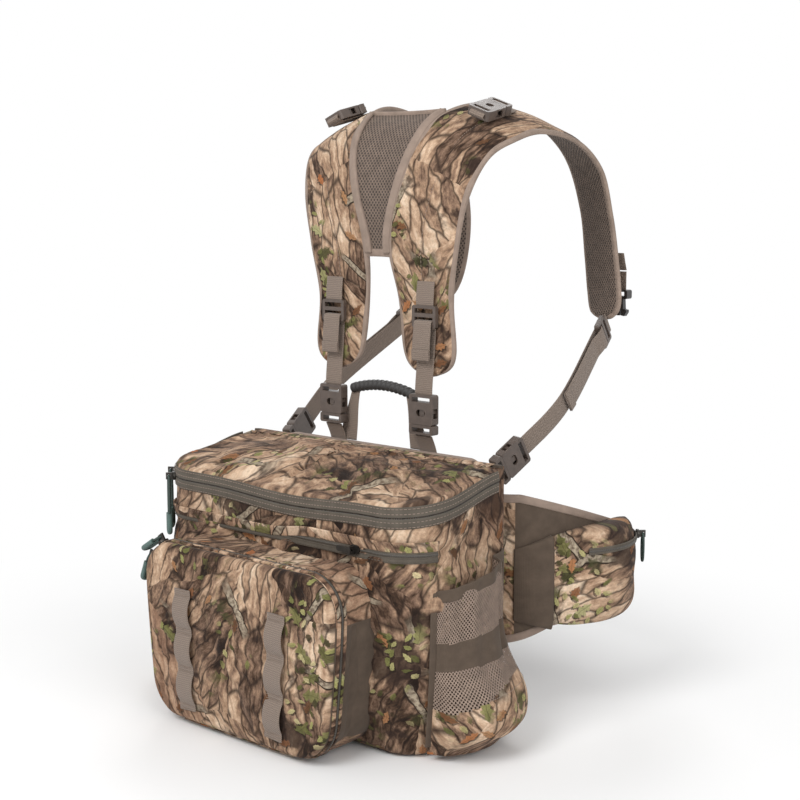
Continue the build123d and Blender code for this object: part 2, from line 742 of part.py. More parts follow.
buckle_inner_x = STERNUM_X - TOP_WEB_W / 2 - BUCKLE_SIDE
sternum_y = chest_face(buckle_inner_x) + RUN + BUCKLE_T / 2
plug_mouth_z = STERNUM_Z - STERNUM_WEB_L - PLUG_BASE - RUN / 2
socket_mouth_z = STERNUM_Z - STERNUM_WEB_L - SOCKET_L
sternum_plug_plane = socket_plane((STERNUM_X, sternum_y, plug_mouth_z), -UP, AHEAD)
sternum_socket_plane = socket_plane((-STERNUM_X, sternum_y, socket_mouth_z), UP, AHEAD)
finish(plug(sternum_plug_plane, TOP_WEB_W), "sternum_plug")
finish(socket(sternum_socket_plane, TOP_WEB_W), "sternum_socket")
hang_plane = socket_plane((STERNUM_X, sternum_y, STERNUM_Z), UP, AHEAD)
with BuildPart() as sternum_web:
    add(webbing(hang_plane, [(-STERNUM_WEB_L + GAP, 0), (WEB_T / 2, 0)], TOP_WEB_W))
    # Its sewn end is round, so that it can turn there.
    sewn_end = sternum_web.faces().sort_by(Axis.Z)[-1]
    fillet(sewn_end.edges().filter_by(Axis.X), ROUND_END)
finish_pair(sternum_web.part, "sternum_web")

# ================================================================ waist webbing and buckle
belt_web_y = BELT_FRONT_Y - BUCKLE_T / 2 - GAP - BELT_T / 2
tip = wing_path @ 1
tip_dir = wing_path % 1
web_start = tip + tip_dir * GAP
with BuildPart() as belt_web:
    with BuildSketch(Plane.XY.offset(WING_TIP_Z - BELT_W / 2)):
        with BuildLine():
            Spline(
                web_start, (BELT_BEND[0], belt_web_y - BELT_BEND[1]), (BELT_FLAT_X, belt_web_y),
                tangents=[tip_dir, (-1, 0)],
            )
            Line((BELT_FLAT_X, belt_web_y), (PLUG_BASE, belt_web_y))
        trace(line_width=BELT_T)
    extrude(amount=BELT_W)
finish_pair(belt_web.part, "belt_web")
belt_plane = socket_plane((0, BELT_FRONT_Y, WING_TIP_Z), Vector(1, 0, 0), AHEAD)
finish(socket(belt_plane, BELT_W), "belt_socket")
finish(plug(belt_plane, BELT_W), "belt_plug")

# ================================================================ sewn tabs
plug_end = -PLUG_BASE - RUN / 2 - GAP
rear_tab = webbing(rear_plane, [(PAD_TOP - REAR_BUCKLE_Z, 0), (plug_end, 0)])
side_tab = webbing(side_plane, [(-SIDE_BUCKLE, 0), (plug_end, 0)])
web_drop = top_web_out - top_out
top_tab = webbing(top_plane, [(top_run / 2, web_drop), (-top_run / 2, web_drop)], TOP_WEB_W)
on_pad = chest_face(STERNUM_X - TOP_WEB_W / 2) + GAP + WEB_T / 2
chest_tab = webbing(
    hang_plane, [(WEB_T / 2 + GAP, 0), (STERNUM_WEB_L, on_pad - sternum_y)], TOP_WEB_W
)
ladder_tab = webbing(
    side_ladder,
    [(LADDER_L + GAP, LADDER_T / 2), (LADDER_L + LADDER_TAB_L, LADDER_T / 2)],
)
finish(both_sides(rear_tab, side_tab, top_tab, chest_tab, ladder_tab), "strap_tabs")

# ================================================================ handle
with BuildPart() as handle_grip:
    with BuildLine() as grip_line:
        ThreePointArc(
            (-HANDLE_TOP_X, HANDLE_Y, GRIP_Z), (0, HANDLE_Y, GRIP_Z + GRIP_RISE),
            (HANDLE_TOP_X, HANDLE_Y, GRIP_Z),
        )
    with BuildSketch(Plane(origin=grip_line.line @ 0, z_dir=grip_line.line % 0)):
        Circle(GRIP_R)
    sweep()
finish(handle_grip.part, "handle_grip")

leg_base = PAD_TOP + GAP
leg_top = GRIP_Z - GRIP_R - GAP
with BuildPart() as handle_legs:
    with BuildSketch(Plane.XZ.offset(-HANDLE_Y - WEB_T / 2)):
        with BuildLine():
            Polyline(
                (HANDLE_X - WEB_W / 2, leg_base), (HANDLE_X + WEB_W / 2, leg_base),
                (HANDLE_TOP_X + 2, leg_top), (HANDLE_TOP_X - 12, leg_top), close=True,
            )
        make_face()
    extrude(amount=WEB_T)
    # The foot is round, so that the leg can fold where it is sewn down.
    foot = handle_legs.faces().sort_by(Axis.Z)[0]
    fillet(foot.edges().filter_by(Axis.X), ROUND_END)
    mirror(about=Plane.YZ)
finish(handle_legs.part, "handle_legs")


# ================================================================ zip sliders and pulls
def slider(plane):
    """Zip slider: a plate on the chain, local x along the zip, with a fin and its eye."""
    with BuildPart() as body:
        with BuildSketch(plane):
            SlotOverall(SLIDER_L, SLIDER_W)
        extrude(amount=SLIDER_PLATE)
        with BuildSketch(plane.offset(SLIDER_PLATE)):
            Rectangle(FIN_T, FIN_H)
        extrude(amount=FIN_H)
        eye_plane = Plane(
            origin=plane.origin + plane.z_dir * (SLIDER_PLATE + EYE_OUT),
            x_dir=plane.y_dir, z_dir=plane.x_dir,
        )
        with BuildSketch(eye_plane):
            Circle(EYE_R)
        extrude(amount=FIN_T, both=True, mode=Mode.SUBTRACT)
    return body.part


def tabbed_slider(plane):
    """A slider with a flat moulded tab that lies along the zip in place of a cord."""
    with BuildPart() as body:
        add(slider(plane))
        with BuildSketch(plane.offset(SLIDER_PLATE + EYE_OUT - TAB_T / 2)):
            with Locations((-TAB_L / 2, 0)):
                SlotOverall(TAB_L, TAB_W)
        extrude(amount=TAB_T)
    return body.part


def eye_of(plane, lean=0.0):
    """The eye's centre as a hanging plane: local x along the eye, local y up the pull."""
    centre = plane.origin + plane.z_dir * (SLIDER_PLATE + EYE_OUT)
    axis = Vector(plane.x_dir.X, plane.x_dir.Y, 0).normalized()
    outward = axis.cross(UP)
    up = UP * cos(radians(lean)) - outward * sin(radians(lean))
    return Plane(origin=centre, x_dir=axis, z_dir=axis.cross(up))


def pull_cord(eye, length):
    """Cord loop: through the eye, down, round and back up, as one open tube."""
    half = LOOP_HALF
    radii = [half - CORD_R, half - GAP, half - GAP, half - CORD_R]
    with BuildPart() as cord:
        with BuildLine(eye) as route:
            FilletPolyline(
                (CORD_GAP, 0), (half, 0), (half, -length), (-half, -length),
                (-half, 0), (-CORD_GAP, 0), radius=radii,
            )
        with BuildSketch(Plane(origin=route.line @ 0, z_dir=route.line % 0)):
            Circle(CORD_R)
        sweep()
    print("pull cord radii", radii)
    return cord.part


def pull_grip(eye, length):
    """Moulded U round the bottom of the loop."""
    half = LOOP_HALF
    with BuildPart() as grip:
        with BuildLine(eye) as route:
            FilletPolyline(
                (half, GRIP_L - length), (half, -length), (-half, -length),
                (-half, GRIP_L - length), radius=half - GAP,
            )
        with BuildSketch(Plane(origin=route.line @ 0, z_dir=route.line % 0)):
            Circle(GRIP_TUBE_R)
            Circle(CORD_R + GRIP_FIT, mode=Mode.SUBTRACT)
        sweep()
    return grip.part


def finish_pull(place, name, where, length, lean=0.0):
    """Writes a slider with its cord and grip."""
    eye = eye_of(place, lean)
    finish(slider(place), f"{name}_slider_{where}")
    finish(pull_cord(eye, length), f"{name}_pull_cord_{where}")
    finish(pull_grip(eye, length), f"{name}_pull_grip_{where}")


def corner_plane(angle, out):
    """Slider's plane on the main zip, at an angle round the bag's left front corner."""
    away = Vector(cos(radians(angle)), sin(radians(angle)), 0)
    spot = CORNER + away * out
    return Plane(
        origin=(spot.X, spot.Y, zip_z(spot.Y)), x_dir=Vector(-away.Y, away.X, 0), z_dir=away
    )


CORNER = Vector(FRONT_R - BAG_W / 2, BAG_FRONT + FRONT_R, 0)
on_chain = ZIP_T + RUN
for where, angle in MAIN_ANGLES.items():
    place = corner_plane(angle, FRONT_R + on_chain)
    finish_pull(place, "main", where, LOOP_L)

FRONT_CORNER = Vector(POCKET_R - POCKET_W / 2, FRONT_ZIP_Y, POCKET_TOP - POCKET_R)


def front_place(angle):
    """Slider's plane at an angle round the front pocket's upper left corner."""
    away = Vector(cos(radians(angle)), 0, sin(radians(angle)))
    spot = FRONT_CORNER + away * (POCKET_R + on_chain)
    return Plane(origin=spot, x_dir=(0, -1, 0), z_dir=away)


for where, angle in FRONT_ANGLES.items():
    finish_pull(front_place(angle), "front", where, SHORT_LOOP_L, FRONT_LEAN[where])

slash_place = Plane(
    origin=(SLASH_CLOSED_X, BAG_FRONT - on_chain, SLASH_Z), x_dir=(1, 0, 0), z_dir=BACK
)
finish(tabbed_slider(slash_place), "slash_slider")

pouch_away = Vector(cos(radians(POUCH_ANGLE)), sin(radians(POUCH_ANGLE)), 0)
pouch_spot = pouch_centre + pouch_away * (pouch_radius + GAP + on_chain)
pouch_place = Plane(
    origin=(pouch_spot.X, pouch_spot.Y, POUCH_ZIP_Z),
    x_dir=Vector(-pouch_away.Y, pouch_away.X, 0), z_dir=pouch_away,
)
finish_pair(slider(pouch_place), "pouch_slider")
finish_pair(pull_cord(eye_of(pouch_place), SHORT_LOOP_L), "pouch_pull_cord")
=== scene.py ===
"""Hunting lumbar pack with a shoulder harness: its fabrics, webbing and trim.

Sizes are in millimetres and become metres when a mesh is made. The wearer faces +Y, the
bag hangs on the -Y side, +X is the wearer's right, and the bag stands on z = 0.
"""

import bpy
import bmesh
import numpy as np
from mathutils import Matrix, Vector


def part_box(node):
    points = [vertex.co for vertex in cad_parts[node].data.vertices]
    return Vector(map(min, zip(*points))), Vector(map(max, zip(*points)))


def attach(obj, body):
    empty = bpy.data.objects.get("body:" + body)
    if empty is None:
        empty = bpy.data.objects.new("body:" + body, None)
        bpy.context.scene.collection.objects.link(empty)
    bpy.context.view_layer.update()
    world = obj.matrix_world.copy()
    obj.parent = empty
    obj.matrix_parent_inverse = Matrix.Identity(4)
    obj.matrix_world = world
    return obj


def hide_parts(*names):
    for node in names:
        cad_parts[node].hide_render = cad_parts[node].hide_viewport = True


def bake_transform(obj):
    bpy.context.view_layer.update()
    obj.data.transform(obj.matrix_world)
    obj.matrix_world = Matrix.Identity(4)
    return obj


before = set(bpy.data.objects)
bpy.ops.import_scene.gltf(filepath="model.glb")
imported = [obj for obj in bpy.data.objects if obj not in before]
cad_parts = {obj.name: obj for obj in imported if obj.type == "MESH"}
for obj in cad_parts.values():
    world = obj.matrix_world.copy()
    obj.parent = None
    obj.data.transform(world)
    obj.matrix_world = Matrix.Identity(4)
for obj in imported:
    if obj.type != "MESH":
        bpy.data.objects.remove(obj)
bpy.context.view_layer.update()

bl_info = {
    "name": "Hunting Lumbar Pack",
    "version": (1, 0, 0),
    "blender": (4, 5, 0),
    "location": "3D View > Sidebar > Pack",
    "description": "Makes the fabrics, webbing and trim of a hunting pack round its frame",
    "category": "Object",
}

MM = 0.001


def node_box(name):
    """Lowest and highest corner of a frame node, in millimetres."""
    low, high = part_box(name)
    return np.array(low) / MM, np.array(high) / MM


# ------------------------------------------------------------------ sizes of the frame
SHELL_LOW, SHELL_HIGH = node_box("bag_shell")
BAG_W = SHELL_HIGH[0] - SHELL_LOW[0]
BAG_FRONT, BAG_REAR = SHELL_LOW[1], SHELL_HIGH[1]
HINGE_Z = SHELL_HIGH[2]
FRONT_R, REAR_R, BASE_R = 52.0, 14.0, 16.0
WALL, FLOOR_T = 6.0, 9.0
BASE_TAPER = 9.0               # how far the stuffed wall draws in at the base
ZIP_FRONT_Z, ZIP_REAR_Z = 255.0, 273.0
LID_REAR = node_box("lid")[1][1]
ROOF_FRONT_Z = ZIP_FRONT_Z + 14.0
ZIP_TAPE = 9.0
SLASH_Z = 218.0

GUSSET_LOW, GUSSET_HIGH = node_box("front_pocket_gusset")
POCKET_W = GUSSET_HIGH[0] - GUSSET_LOW[0]
POCKET_BASE, POCKET_TOP = GUSSET_LOW[2], GUSSET_HIGH[2]
POCKET_R = 40.0
GUSSET_FRONT = GUSSET_LOW[1]
PANEL_LOW, PANEL_HIGH = node_box("front_panel")
FRONT_ZIP_Y = GUSSET_FRONT + 8.0
DAISY_X, DAISY_BASE, DAISY_PITCH, DAISY_TACK, DAISY_RISE = 72.0, 22.0, 42.0, 8.0, 3.5
DAISY_LOOPS = 3

BOTTLE_X, BOTTLE_Y, BOTTLE_RX, BOTTLE_RY = 172.0, 5.0, 52.0, 64.0
BOTTLE_BASE, BOTTLE_FRONT_Z, BOTTLE_REAR_Z = 7.0, 178.0, 206.0

PAD_LOW, PAD_HIGH = node_box("back_pad")
WING_ROUTE = [(155, 86), (190, 110), (211, 160), (216, 215), (210, 260), (195, 300)]
WING_T = 10.0
POUCH_Z, POUCH_H, POUCH_BULGE = 158.0, 108.0, 42.0
POUCH_FROM, POUCH_TO = 0.26, 0.90
POUCH_ZIP_Z = 191.0
BELT_Z, BELT_W, BELT_T = 152.0, 38.0, 2.4

WEB_W, WEB_T, TOP_WEB_W = 25.0, 2.0, 20.0
BUCKLE_T, SOCKET_L, PLUG_BASE, BAR = 11.0, 34.0, 11.0, 3.4
LADDER_L, LADDER_T, LOWER_BAR = 25.0, 5.0, 6.8
# y, z, inner x, outer x of the right shoulder pad, and the roll of its outer edge
SHOULDER = np.array([
    (95, 375, 55, 82, 0), (95, 384, 42, 96, 0), (95, 405, 31, 104, 0), (95, 460, 24, 100, 0),
    (88, 520, 20, 110, 4), (88, 575, 40, 122, 8), (104, 622, 62, 136, 14),
    (137, 649, 72, 148, 20), (190, 661, 80, 154, 22), (262, 648, 84, 156, 22),
    (320, 612, 84, 154, 24), (346, 555, 84, 154, 26), (350, 500, 90, 160, 25),
    (344, 458, 100, 168, 25), (334, 436, 118, 168, 22), (330, 429, 134, 162, 20),
], float)
# The pads' covers reach this much further in at each station, over the yoke's edges.
REACH_IN = np.array([0, 0, 0, 0, 3, 9, 17, 20, 14, 8, 4, 0, 0, 0, 0, 0], float)
SHOULDER_T = 10.0
YOKE_FIRST, YOKE_LAST = 4.0, 7.0
REAR_STRAP = np.array((69.0, 83.0, 322.0))     # mouth of the rear socket
REAR_LADDER = np.array((69.0, 87.4, 430.0))    # lower edge of the rear ladder lock
SIDE_START = np.array((156.4, 88.0, 268.0))
SIDE_END = np.array((153.0, 303.0, 407.0))
SIDE_BULGE, SIDE_BUCKLE, SIDE_TAIL, REAR_TAIL = 20.0, 26.0, 96.0, 36.0
RISE_SHARE = 0.42
X, Y, Z = np.eye(3)

# How the stuffed cloth differs from flat panels
FRONT_SAG, SIDE_LIFT = 5.0, 7.0     # the main zip sags along the front, rises at the sides
BELLY = 6.0                         # the bag's wall between base and flat pocket
POCKET_TAPER = 0.1                  # share of the front pocket's width lost at its base
PANEL_BULGE = 5.0
BOTTLE_BULGE, BOTTLE_TUCK = 0.62, 0.3    # shares of the bottle pocket's reach
WING_SWELL, SKIRT_SWELL = 0.55, 9.0
SETTLE_FRAMES = 16
LEFT_SHIFT = (437.0, 291.0)    # the print on a left piece comes from further along the cloth


# ------------------------------------------------------------------ what a user may change
class PackSizes(bpy.types.PropertyGroup):
    """Sizes of the sewn work."""

    fold_depth: bpy.props.FloatProperty(
        name="Fold depth", description="How deep the bag's fabric folds", default=0.0024,
        unit="LENGTH",
    )
    lid_rise: bpy.props.FloatProperty(
        name="Lid rise", description="Dome of the lid above its edge", default=0.009,
        unit="LENGTH",
    )
    binding_width: bpy.props.FloatProperty(
        name="Binding width", description="Edge tape of the harness", default=0.0085,
        unit="LENGTH",
    )
    stitch_pitch: bpy.props.FloatProperty(
        name="Stitch pitch", description="From one stitch to the next", default=0.0042,
        unit="LENGTH",
    )
    print_scale: bpy.props.FloatProperty(
        name="Print scale", description="Size of the woodland print", default=1.0,
        subtype="FACTOR", min=0.2, max=4.0,
    )


def colour_property(name, description, default):
    """A colour that a user may change."""
    return bpy.props.FloatVectorProperty(
        name=name, description=description, default=default, subtype="COLOR", min=0, max=1
    )


class PackColours(bpy.types.PropertyGroup):
    """Colours of the fabrics and trim, as linear light."""

    webbing: colour_property("Webbing", "Straps and daisy chains", (0.205, 0.155, 0.122))
    binding: colour_property("Binding", "Edge tape of the harness", (0.27, 0.205, 0.165))
    plain: colour_property("Plain fabric", "Gussets and wings", (0.088, 0.064, 0.047))
    mesh: colour_property("Mesh", "Bottle pockets and yoke", (0.17, 0.125, 0.098))
    zip: colour_property("Zip", "Tape and coil", (0.098, 0.083, 0.066))
    buckle: colour_property("Buckle", "Moulded buckles", (0.085, 0.062, 0.05))
    cord: colour_property("Pull cord", "Zip pull loops", (0.045, 0.07, 0.06))
    grip: colour_property("Pull grip", "Moulded zip pulls", (0.075, 0.125, 0.112))
    handle: colour_property("Handle grip", "Moulded carry handle", (0.028, 0.026, 0.025))


# ------------------------------------------------------------------ lines and surfaces
def resample(line, count):
    """Points spaced evenly along a line of straight runs."""
    along = lengths_along(line)
    wanted = np.linspace(0, along[-1], count)
    return np.stack([np.interp(wanted, along, axis) for axis in np.transpose(line)], axis=1)


def rounded(line, rounds=3):
    """A line whose corners are cut again and again, at a quarter of each run."""
    line = np.asarray(line, float)
    for _ in range(rounds):
        early = 0.75 * line[:-1] + 0.25 * line[1:]
        late = 0.25 * line[:-1] + 0.75 * line[1:]
        inner = np.stack([early, late], axis=1).reshape(-1, line.shape[1])
        line = np.vstack([line[:1], inner, line[-1:]])
    return line


def through(points, at):
    """Smooth curve through points (rows), read at places counted in points: cubic pieces
    whose slopes are half the step between the neighbours."""
    points = np.asarray(points, float)
    last = len(points) - 1
    at = np.clip(np.asarray(at, float), 0, last)
    low = np.minimum(at.astype(int), last - 1)
    share = (at - low)[:, None]
    padded = np.vstack([2 * points[0] - points[1], points, 2 * points[-1] - points[-2]])
    a, b, c, d = (padded[low + k] for k in range(4))
    slope_in, slope_out = (c - a) / 2, (d - b) / 2
    return (
        b + slope_in * share
        + (3 * (c - b) - 2 * slope_in - slope_out) * share ** 2
        + (2 * (b - c) + slope_in + slope_out) * share ** 3
    )


def unit(vectors):
    """Vectors scaled to length one."""
    return vectors / np.maximum(np.linalg.norm(vectors, axis=-1, keepdims=True), 1e-9)


def tangents(line):
    """Unit directions along a line."""
    return unit(np.gradient(line, axis=0))


def waves(points, length, seed, stretch=(1, 1, 1)):
    """Smooth random height, mostly within -1 to 1: sine waves of about one length in
    random directions, added up."""
    draw = np.random.default_rng(seed)
    scaled = points * np.array(stretch) / length
    total = np.zeros(points.shape[:-1])
    count = 16
    for _ in range(count):
        direction = unit(draw.normal(size=3)) * draw.uniform(0.6, 1.5)
        total += np.sin(2 * np.pi * (scaled @ direction) + draw.uniform(0, 2 * np.pi))
    return total / np.sqrt(count)


def creases(points, length, seed, stretch=(1, 1, 1), width=0.35):
    """Narrow ridges from 0 to 1 where a random height passes through zero."""
    return np.exp(-(waves(points, length, seed, stretch) / width) ** 2)


def smooth_step(value, low, high):
    """0 below low, 1 above high, and an even S-curve between."""
    share = np.clip((value - low) / (high - low), 0, 1)
    return share * share * (3 - 2 * share)


def plan_outline(width, front, rear, front_r, rear_r, count):
    """Closed D-shaped outline in x and y, from the middle of the rear anticlockwise."""
    corners = [
        (-width / 2 + rear_r, rear - rear_r, rear_r, 90),
        (-width / 2 + front_r, front + front_r, front_r, 180),
        (width / 2 - front_r, front + front_r, front_r, 270),
        (width / 2 - rear_r, rear - rear_r, rear_r, 0),
    ]
    points = [(0.0, rear)]
    for x, y, radius, start in corners:
        for turn in np.radians(np.linspace(start, start + 90, 24)):
            points.append((x + radius * np.cos(turn), y + radius * np.sin(turn)))
    points.append((0.0, rear))
    return resample(np.array(points), count)


def outline_normals(outline):
    """Outward unit normals of a closed anticlockwise outline."""
    ahead = np.roll(outline[:-1], -1, axis=0) - np.roll(outline[:-1], 1, axis=0)
    ahead = unit(np.vstack([ahead, ahead[:1]]))
    return np.stack([ahead[:, 1], -ahead[:, 0]], axis=1)


def zip_z(y, x=None):
    """Height of the main zip's seam: a slope, with a sag along the front and a lift of the
    sides towards the rear."""
    z = ZIP_FRONT_Z + (ZIP_REAR_Z - ZIP_FRONT_Z) * (y - BAG_FRONT) / (BAG_REAR - BAG_FRONT)
    if x is None:
        return z
    sag = FRONT_SAG * np.cos(np.pi / 2 * np.clip((x - 20) / 120, -1, 1)) ** 2 * (y < BAG_FRONT + 6)
    return z - sag + SIDE_LIFT * smooth_step(y, -25, 50) * (np.abs(x) > BAG_W / 2 - FRONT_R)


def oval_section(width, thick, count=20, squareness=0.35):
    """Flat oval: cosine and sine raised to powers below one, so that its sides lie flat."""
    turn = np.linspace(0, 2 * np.pi, count + 1)
    cos, sin = np.cos(turn), np.sin(turn)
    x = np.sign(cos) * np.abs(cos) ** squareness * width / 2
    y = np.sign(sin) * np.abs(sin) ** 0.7 * thick / 2
    return np.stack([x, y], axis=1)


def carried(line, across, section, closed=False, swell=None):
    """A section carried along a line: its first axis lies along `across`, its second
    square to that and the line. Open ends are closed to the line."""
    ahead = tangents(line)
    if closed:
        ahead = unit(np.roll(line[:-1], -1, axis=0) - np.roll(line[:-1], 1, axis=0))
        ahead = np.vstack([ahead, ahead[:1]])
    across = np.broadcast_to(across, line.shape)
    across = unit(across - ahead * np.sum(across * ahead, axis=1, keepdims=True))
    normal = np.cross(ahead, across)
    size = np.ones(len(line)) if swell is None else swell
    grid = (
        line[:, None] + across[:, None] * (section[:, 0] * size[:, None])[..., None]
        + normal[:, None] * (section[:, 1] * size[:, None])[..., None]
    )
    if not closed:
        first = np.repeat(line[:1, None], len(section), axis=1)
        last = np.repeat(line[-1:, None], len(section), axis=1)
        grid = np.concatenate([first, grid, last])
    return grid


def strip_uv(grid, section):
    """Cloth coordinates of a carried strip: along its length, and across its width."""
    along = lengths_along(grid.mean(axis=1))
    u = np.broadcast_to(along[:, None], grid.shape[:2])
    v = np.broadcast_to(section[:, 0], grid.shape[:2])
    return np.stack([u, v], axis=-1)


def cloth_uv(grid):
    """Cloth coordinates of a grid: mean lengths along its rows and columns."""
    rows = np.linalg.norm(np.diff(grid, axis=0), axis=-1).mean(axis=1)
    columns = np.linalg.norm(np.diff(grid, axis=1), axis=-1).mean(axis=0)
    u = np.concatenate([[0.0], np.cumsum(columns)])
    v = np.concatenate([[0.0], np.cumsum(rows)])
    return np.stack(np.meshgrid(u, v), axis=-1)


def add_piece(name, grids, uvs, material_rows=None):
    """New mesh object from grids of points in millimetres. Shared edges are merged and the
    faces turned outwards. material_rows gives each grid's material index per row."""
    points, quads, coords, slots = [], [], [], []
    start = 0
    shift = LEFT_SHIFT if name.endswith("left") else (0.0, 0.0)
    for number, (grid, uv) in enumerate(zip(grids, uvs)):
        rows, columns = grid.shape[:2]
        index = start + np.arange(rows * columns).reshape(rows, columns)
        faces = np.stack(
            [index[:-1, :-1], index[:-1, 1:], index[1:, 1:], index[1:, :-1]], axis=-1
        ).reshape(-1, 4)
        points.append(grid.reshape(-1, 3) * MM)
        coords.append((uv.reshape(-1, 2) + shift) * MM)
        quads.append(faces)
        kinds = np.zeros((rows - 1, columns - 1), int)
        if material_rows is not None and material_rows[number] is not None:
            kinds = np.broadcast_to(material_rows[number], kinds.shape)
        slots.append(kinds.reshape(-1))
        start += rows * columns
    points, quads = np.vstack(points), np.vstack(quads)
    coords, slots = np.vstack(coords), np.concatenate(slots)
    mesh = bpy.data.meshes.new(name)
    mesh.vertices.add(len(points))
    mesh.vertices.foreach_set("co", points.astype(np.float32).ravel())
    mesh.loops.add(quads.size)
    mesh.loops.foreach_set("vertex_index", quads.astype(np.int32).ravel())
    mesh.polygons.add(len(quads))
    mesh.polygons.foreach_set("loop_start", np.arange(0, quads.size, 4, dtype=np.int32))
    mesh.polygons.foreach_set("material_index", slots.astype(np.int32))
    mesh.polygons.foreach_set("use_smooth", np.ones(len(quads), bool))
    mesh.update(calc_edges=True)
    layer = mesh.uv_layers.new(name="cloth")
    layer.data.foreach_set("uv", coords[quads.ravel()].astype(np.float32).ravel())
    made = bmesh.new()
    made.from_mesh(mesh)
    bmesh.ops.remove_doubles(made, verts=made.verts, dist=2e-6)
    bmesh.ops.dissolve_degenerate(made, edges=made.edges, dist=1e-7)
    bmesh.ops.recalc_face_normals(made, faces=made.faces)
    made.to_mesh(mesh)
    made.free()
    piece = bpy.data.objects.new(name, mesh)
    bpy.context.scene.collection.objects.link(piece)
    return piece


def dress(piece, body, slot, *materials, replaces=()):
    """Gives a piece its materials, its body and the nodes that it stands for. The slot is not used.
    """
    for material in materials:
        piece.data.materials.append(material)
    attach(piece, body)
    if replaces:
        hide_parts(*replaces)
    return piece


def settled(piece, held, cap=6.0, pressure=2.0, slack=0.03):
    """Lets cloth with some slack settle under a light pressure from inside: points in
    `held`, a test of points in millimetres, stay, and no other moves further than cap."""
    mesh = piece.data
    start = np.empty(len(mesh.vertices) * 3, np.float32)
    mesh.vertices.foreach_get("co", start)
    start = start.reshape(-1, 3)
    copy = bpy.data.objects.new("settling", mesh.copy())
    scene = bpy.context.scene
    scene.collection.objects.link(copy)
    pins = copy.vertex_groups.new(name="held")
    pins.add([int(k) for k in np.flatnonzero(held(start / MM))], 1.0, "REPLACE")
    cloth = copy.modifiers.new("cloth", "CLOTH").settings
    cloth.quality = 4
    cloth.vertex_group_mass = "held"
    cloth.use_pressure = True
    cloth.uniform_pressure_force = pressure
    cloth.shrink_min = -slack
    cloth.tension_stiffness = cloth.compression_stiffness = 20
    cloth.bending_stiffness = 0.6
    cloth.effector_weights.gravity = 0
    for frame_number in range(1, SETTLE_FRAMES + 1):
        scene.frame_set(frame_number)
    made = copy.evaluated_get(bpy.context.evaluated_depsgraph_get())
    moved = np.empty(len(made.data.vertices) * 3, np.float32)
    made.data.vertices.foreach_get("co", moved)
    shift = moved.reshape(-1, 3) - start
    far = np.maximum(np.linalg.norm(shift, axis=1, keepdims=True) / (cap * MM), 1e-6)
    mesh.vertices.foreach_set("co", (start + shift * np.tanh(far) / far).astype(np.float32).ravel())
    mesh.update()
    settling = copy.data
    bpy.data.objects.remove(copy)
    bpy.data.meshes.remove(settling)
    scene.frame_set(1)


def sides():
    """The two sides of the pack: name, and factors that mirror a right side's points."""
    return ("right", np.array((1, 1, 1))), ("left", np.array((-1, 1, 1)))


def true_span(flags):
    """The slice from the first to the last true flag."""
    return slice(np.argmax(flags), len(flags) - np.argmax(flags[::-1]))


def closed_end(grid, row):
    """One more row that closes a grid's first (0) or last (-1) row to its middle."""
    return np.repeat(grid[[row]].mean(axis=1, keepdims=True), grid.shape[1], axis=1)


def lengths_along(line):
    """Length of a line from its start to each of its points."""
    return np.concatenate([[0], np.cumsum(np.linalg.norm(np.diff(line, axis=0), axis=1))])


def strap(
    name, line, across, width, thick, cloth="webbing", body="pack", slot="webbing",
    replaces=(), closed=False,
):
    """Flat webbing or tape along a line."""
    section = oval_section(width, thick)
    grid = carried(line, across, section, closed)
    piece = add_piece(name, [grid], [strip_uv(grid, section)])
    return dress(piece, body, slot, material(cloth), replaces=replaces)


def both_straps(name, line, across, *sizes, **made_of):
    """The same strap on both sides."""
    for side, flip in sides():
        strap(f"{name}_{side}", line * flip, across * flip, *sizes, **made_of)


# ------------------------------------------------------------------ shader building
def feed(tree, socket, value):
    """Sets a socket from a number, a colour or another socket."""
    if isinstance(value, bpy.types.NodeSocket):
        tree.links.new(value, socket)
    elif hasattr(value, "__len__") and len(value) == 3 and socket.type == "RGBA":
        socket.default_value = (*value, 1.0)
    else:
        socket.default_value = value


def node(tree, kind, settings=None, **sockets):
    """Adds a shader node with its settings, and feeds its named sockets."""
    made = tree.nodes.new("ShaderNode" + kind)
    for key, value in (settings or {}).items():
        setattr(made, key, value)
    for key, value in sockets.items():
        feed(tree, made.inputs[key.replace("_", " ")], value)
    return made


def calc(tree, operation, *values):
    """One Math node."""
    made = tree.nodes.new("ShaderNodeMath")
    made.operation = operation
    for socket, value in zip(made.inputs, values):
        feed(tree, socket, value)
    return made.outputs[0]


def move(tree, operation, *values):
    """One Vector Math node."""
    made = tree.nodes.new("ShaderNodeVectorMath")
    made.operation = operation
    sockets = [made.inputs[0], made.inputs["Scale"]] if operation == "SCALE" else made.inputs
    for socket, value in zip(sockets, values):
        feed(tree, socket, value)
    return made.outputs[0]


def mixed(tree, share, below, above, mode="MIX"):
    """One colour laid over another."""
    made = tree.nodes.new("ShaderNodeMix")
    made.data_type = "RGBA"
    made.blend_type = mode
    feed(tree, made.inputs[0], share)
    feed(tree, made.inputs[6], below)
    feed(tree, made.inputs[7], above)
    return made.outputs[2]


def rising(tree, value, low, high):
    """0 at low and 1 at high, clamped."""
    made = node(tree, "MapRange", {"interpolation_type": "SMOOTHSTEP"}, Value=value)
    feed(tree, made.inputs["From Min"], low)
    feed(tree, made.inputs["From Max"], high)
    return made.outputs[0]


def ramp(tree, value, *stops):
    """Colour ramp through (place, colour) stops."""
    made = tree.nodes.new("ShaderNodeValToRGB")
    elements = made.color_ramp.elements
    while len(elements) < len(stops):
        elements.new(0.5)
    for element, (place, colour) in zip(elements, stops):
        element.position = place
        element.color = (*colour, 1.0)
    feed(tree, made.inputs[0], value)
    return made.outputs[0]


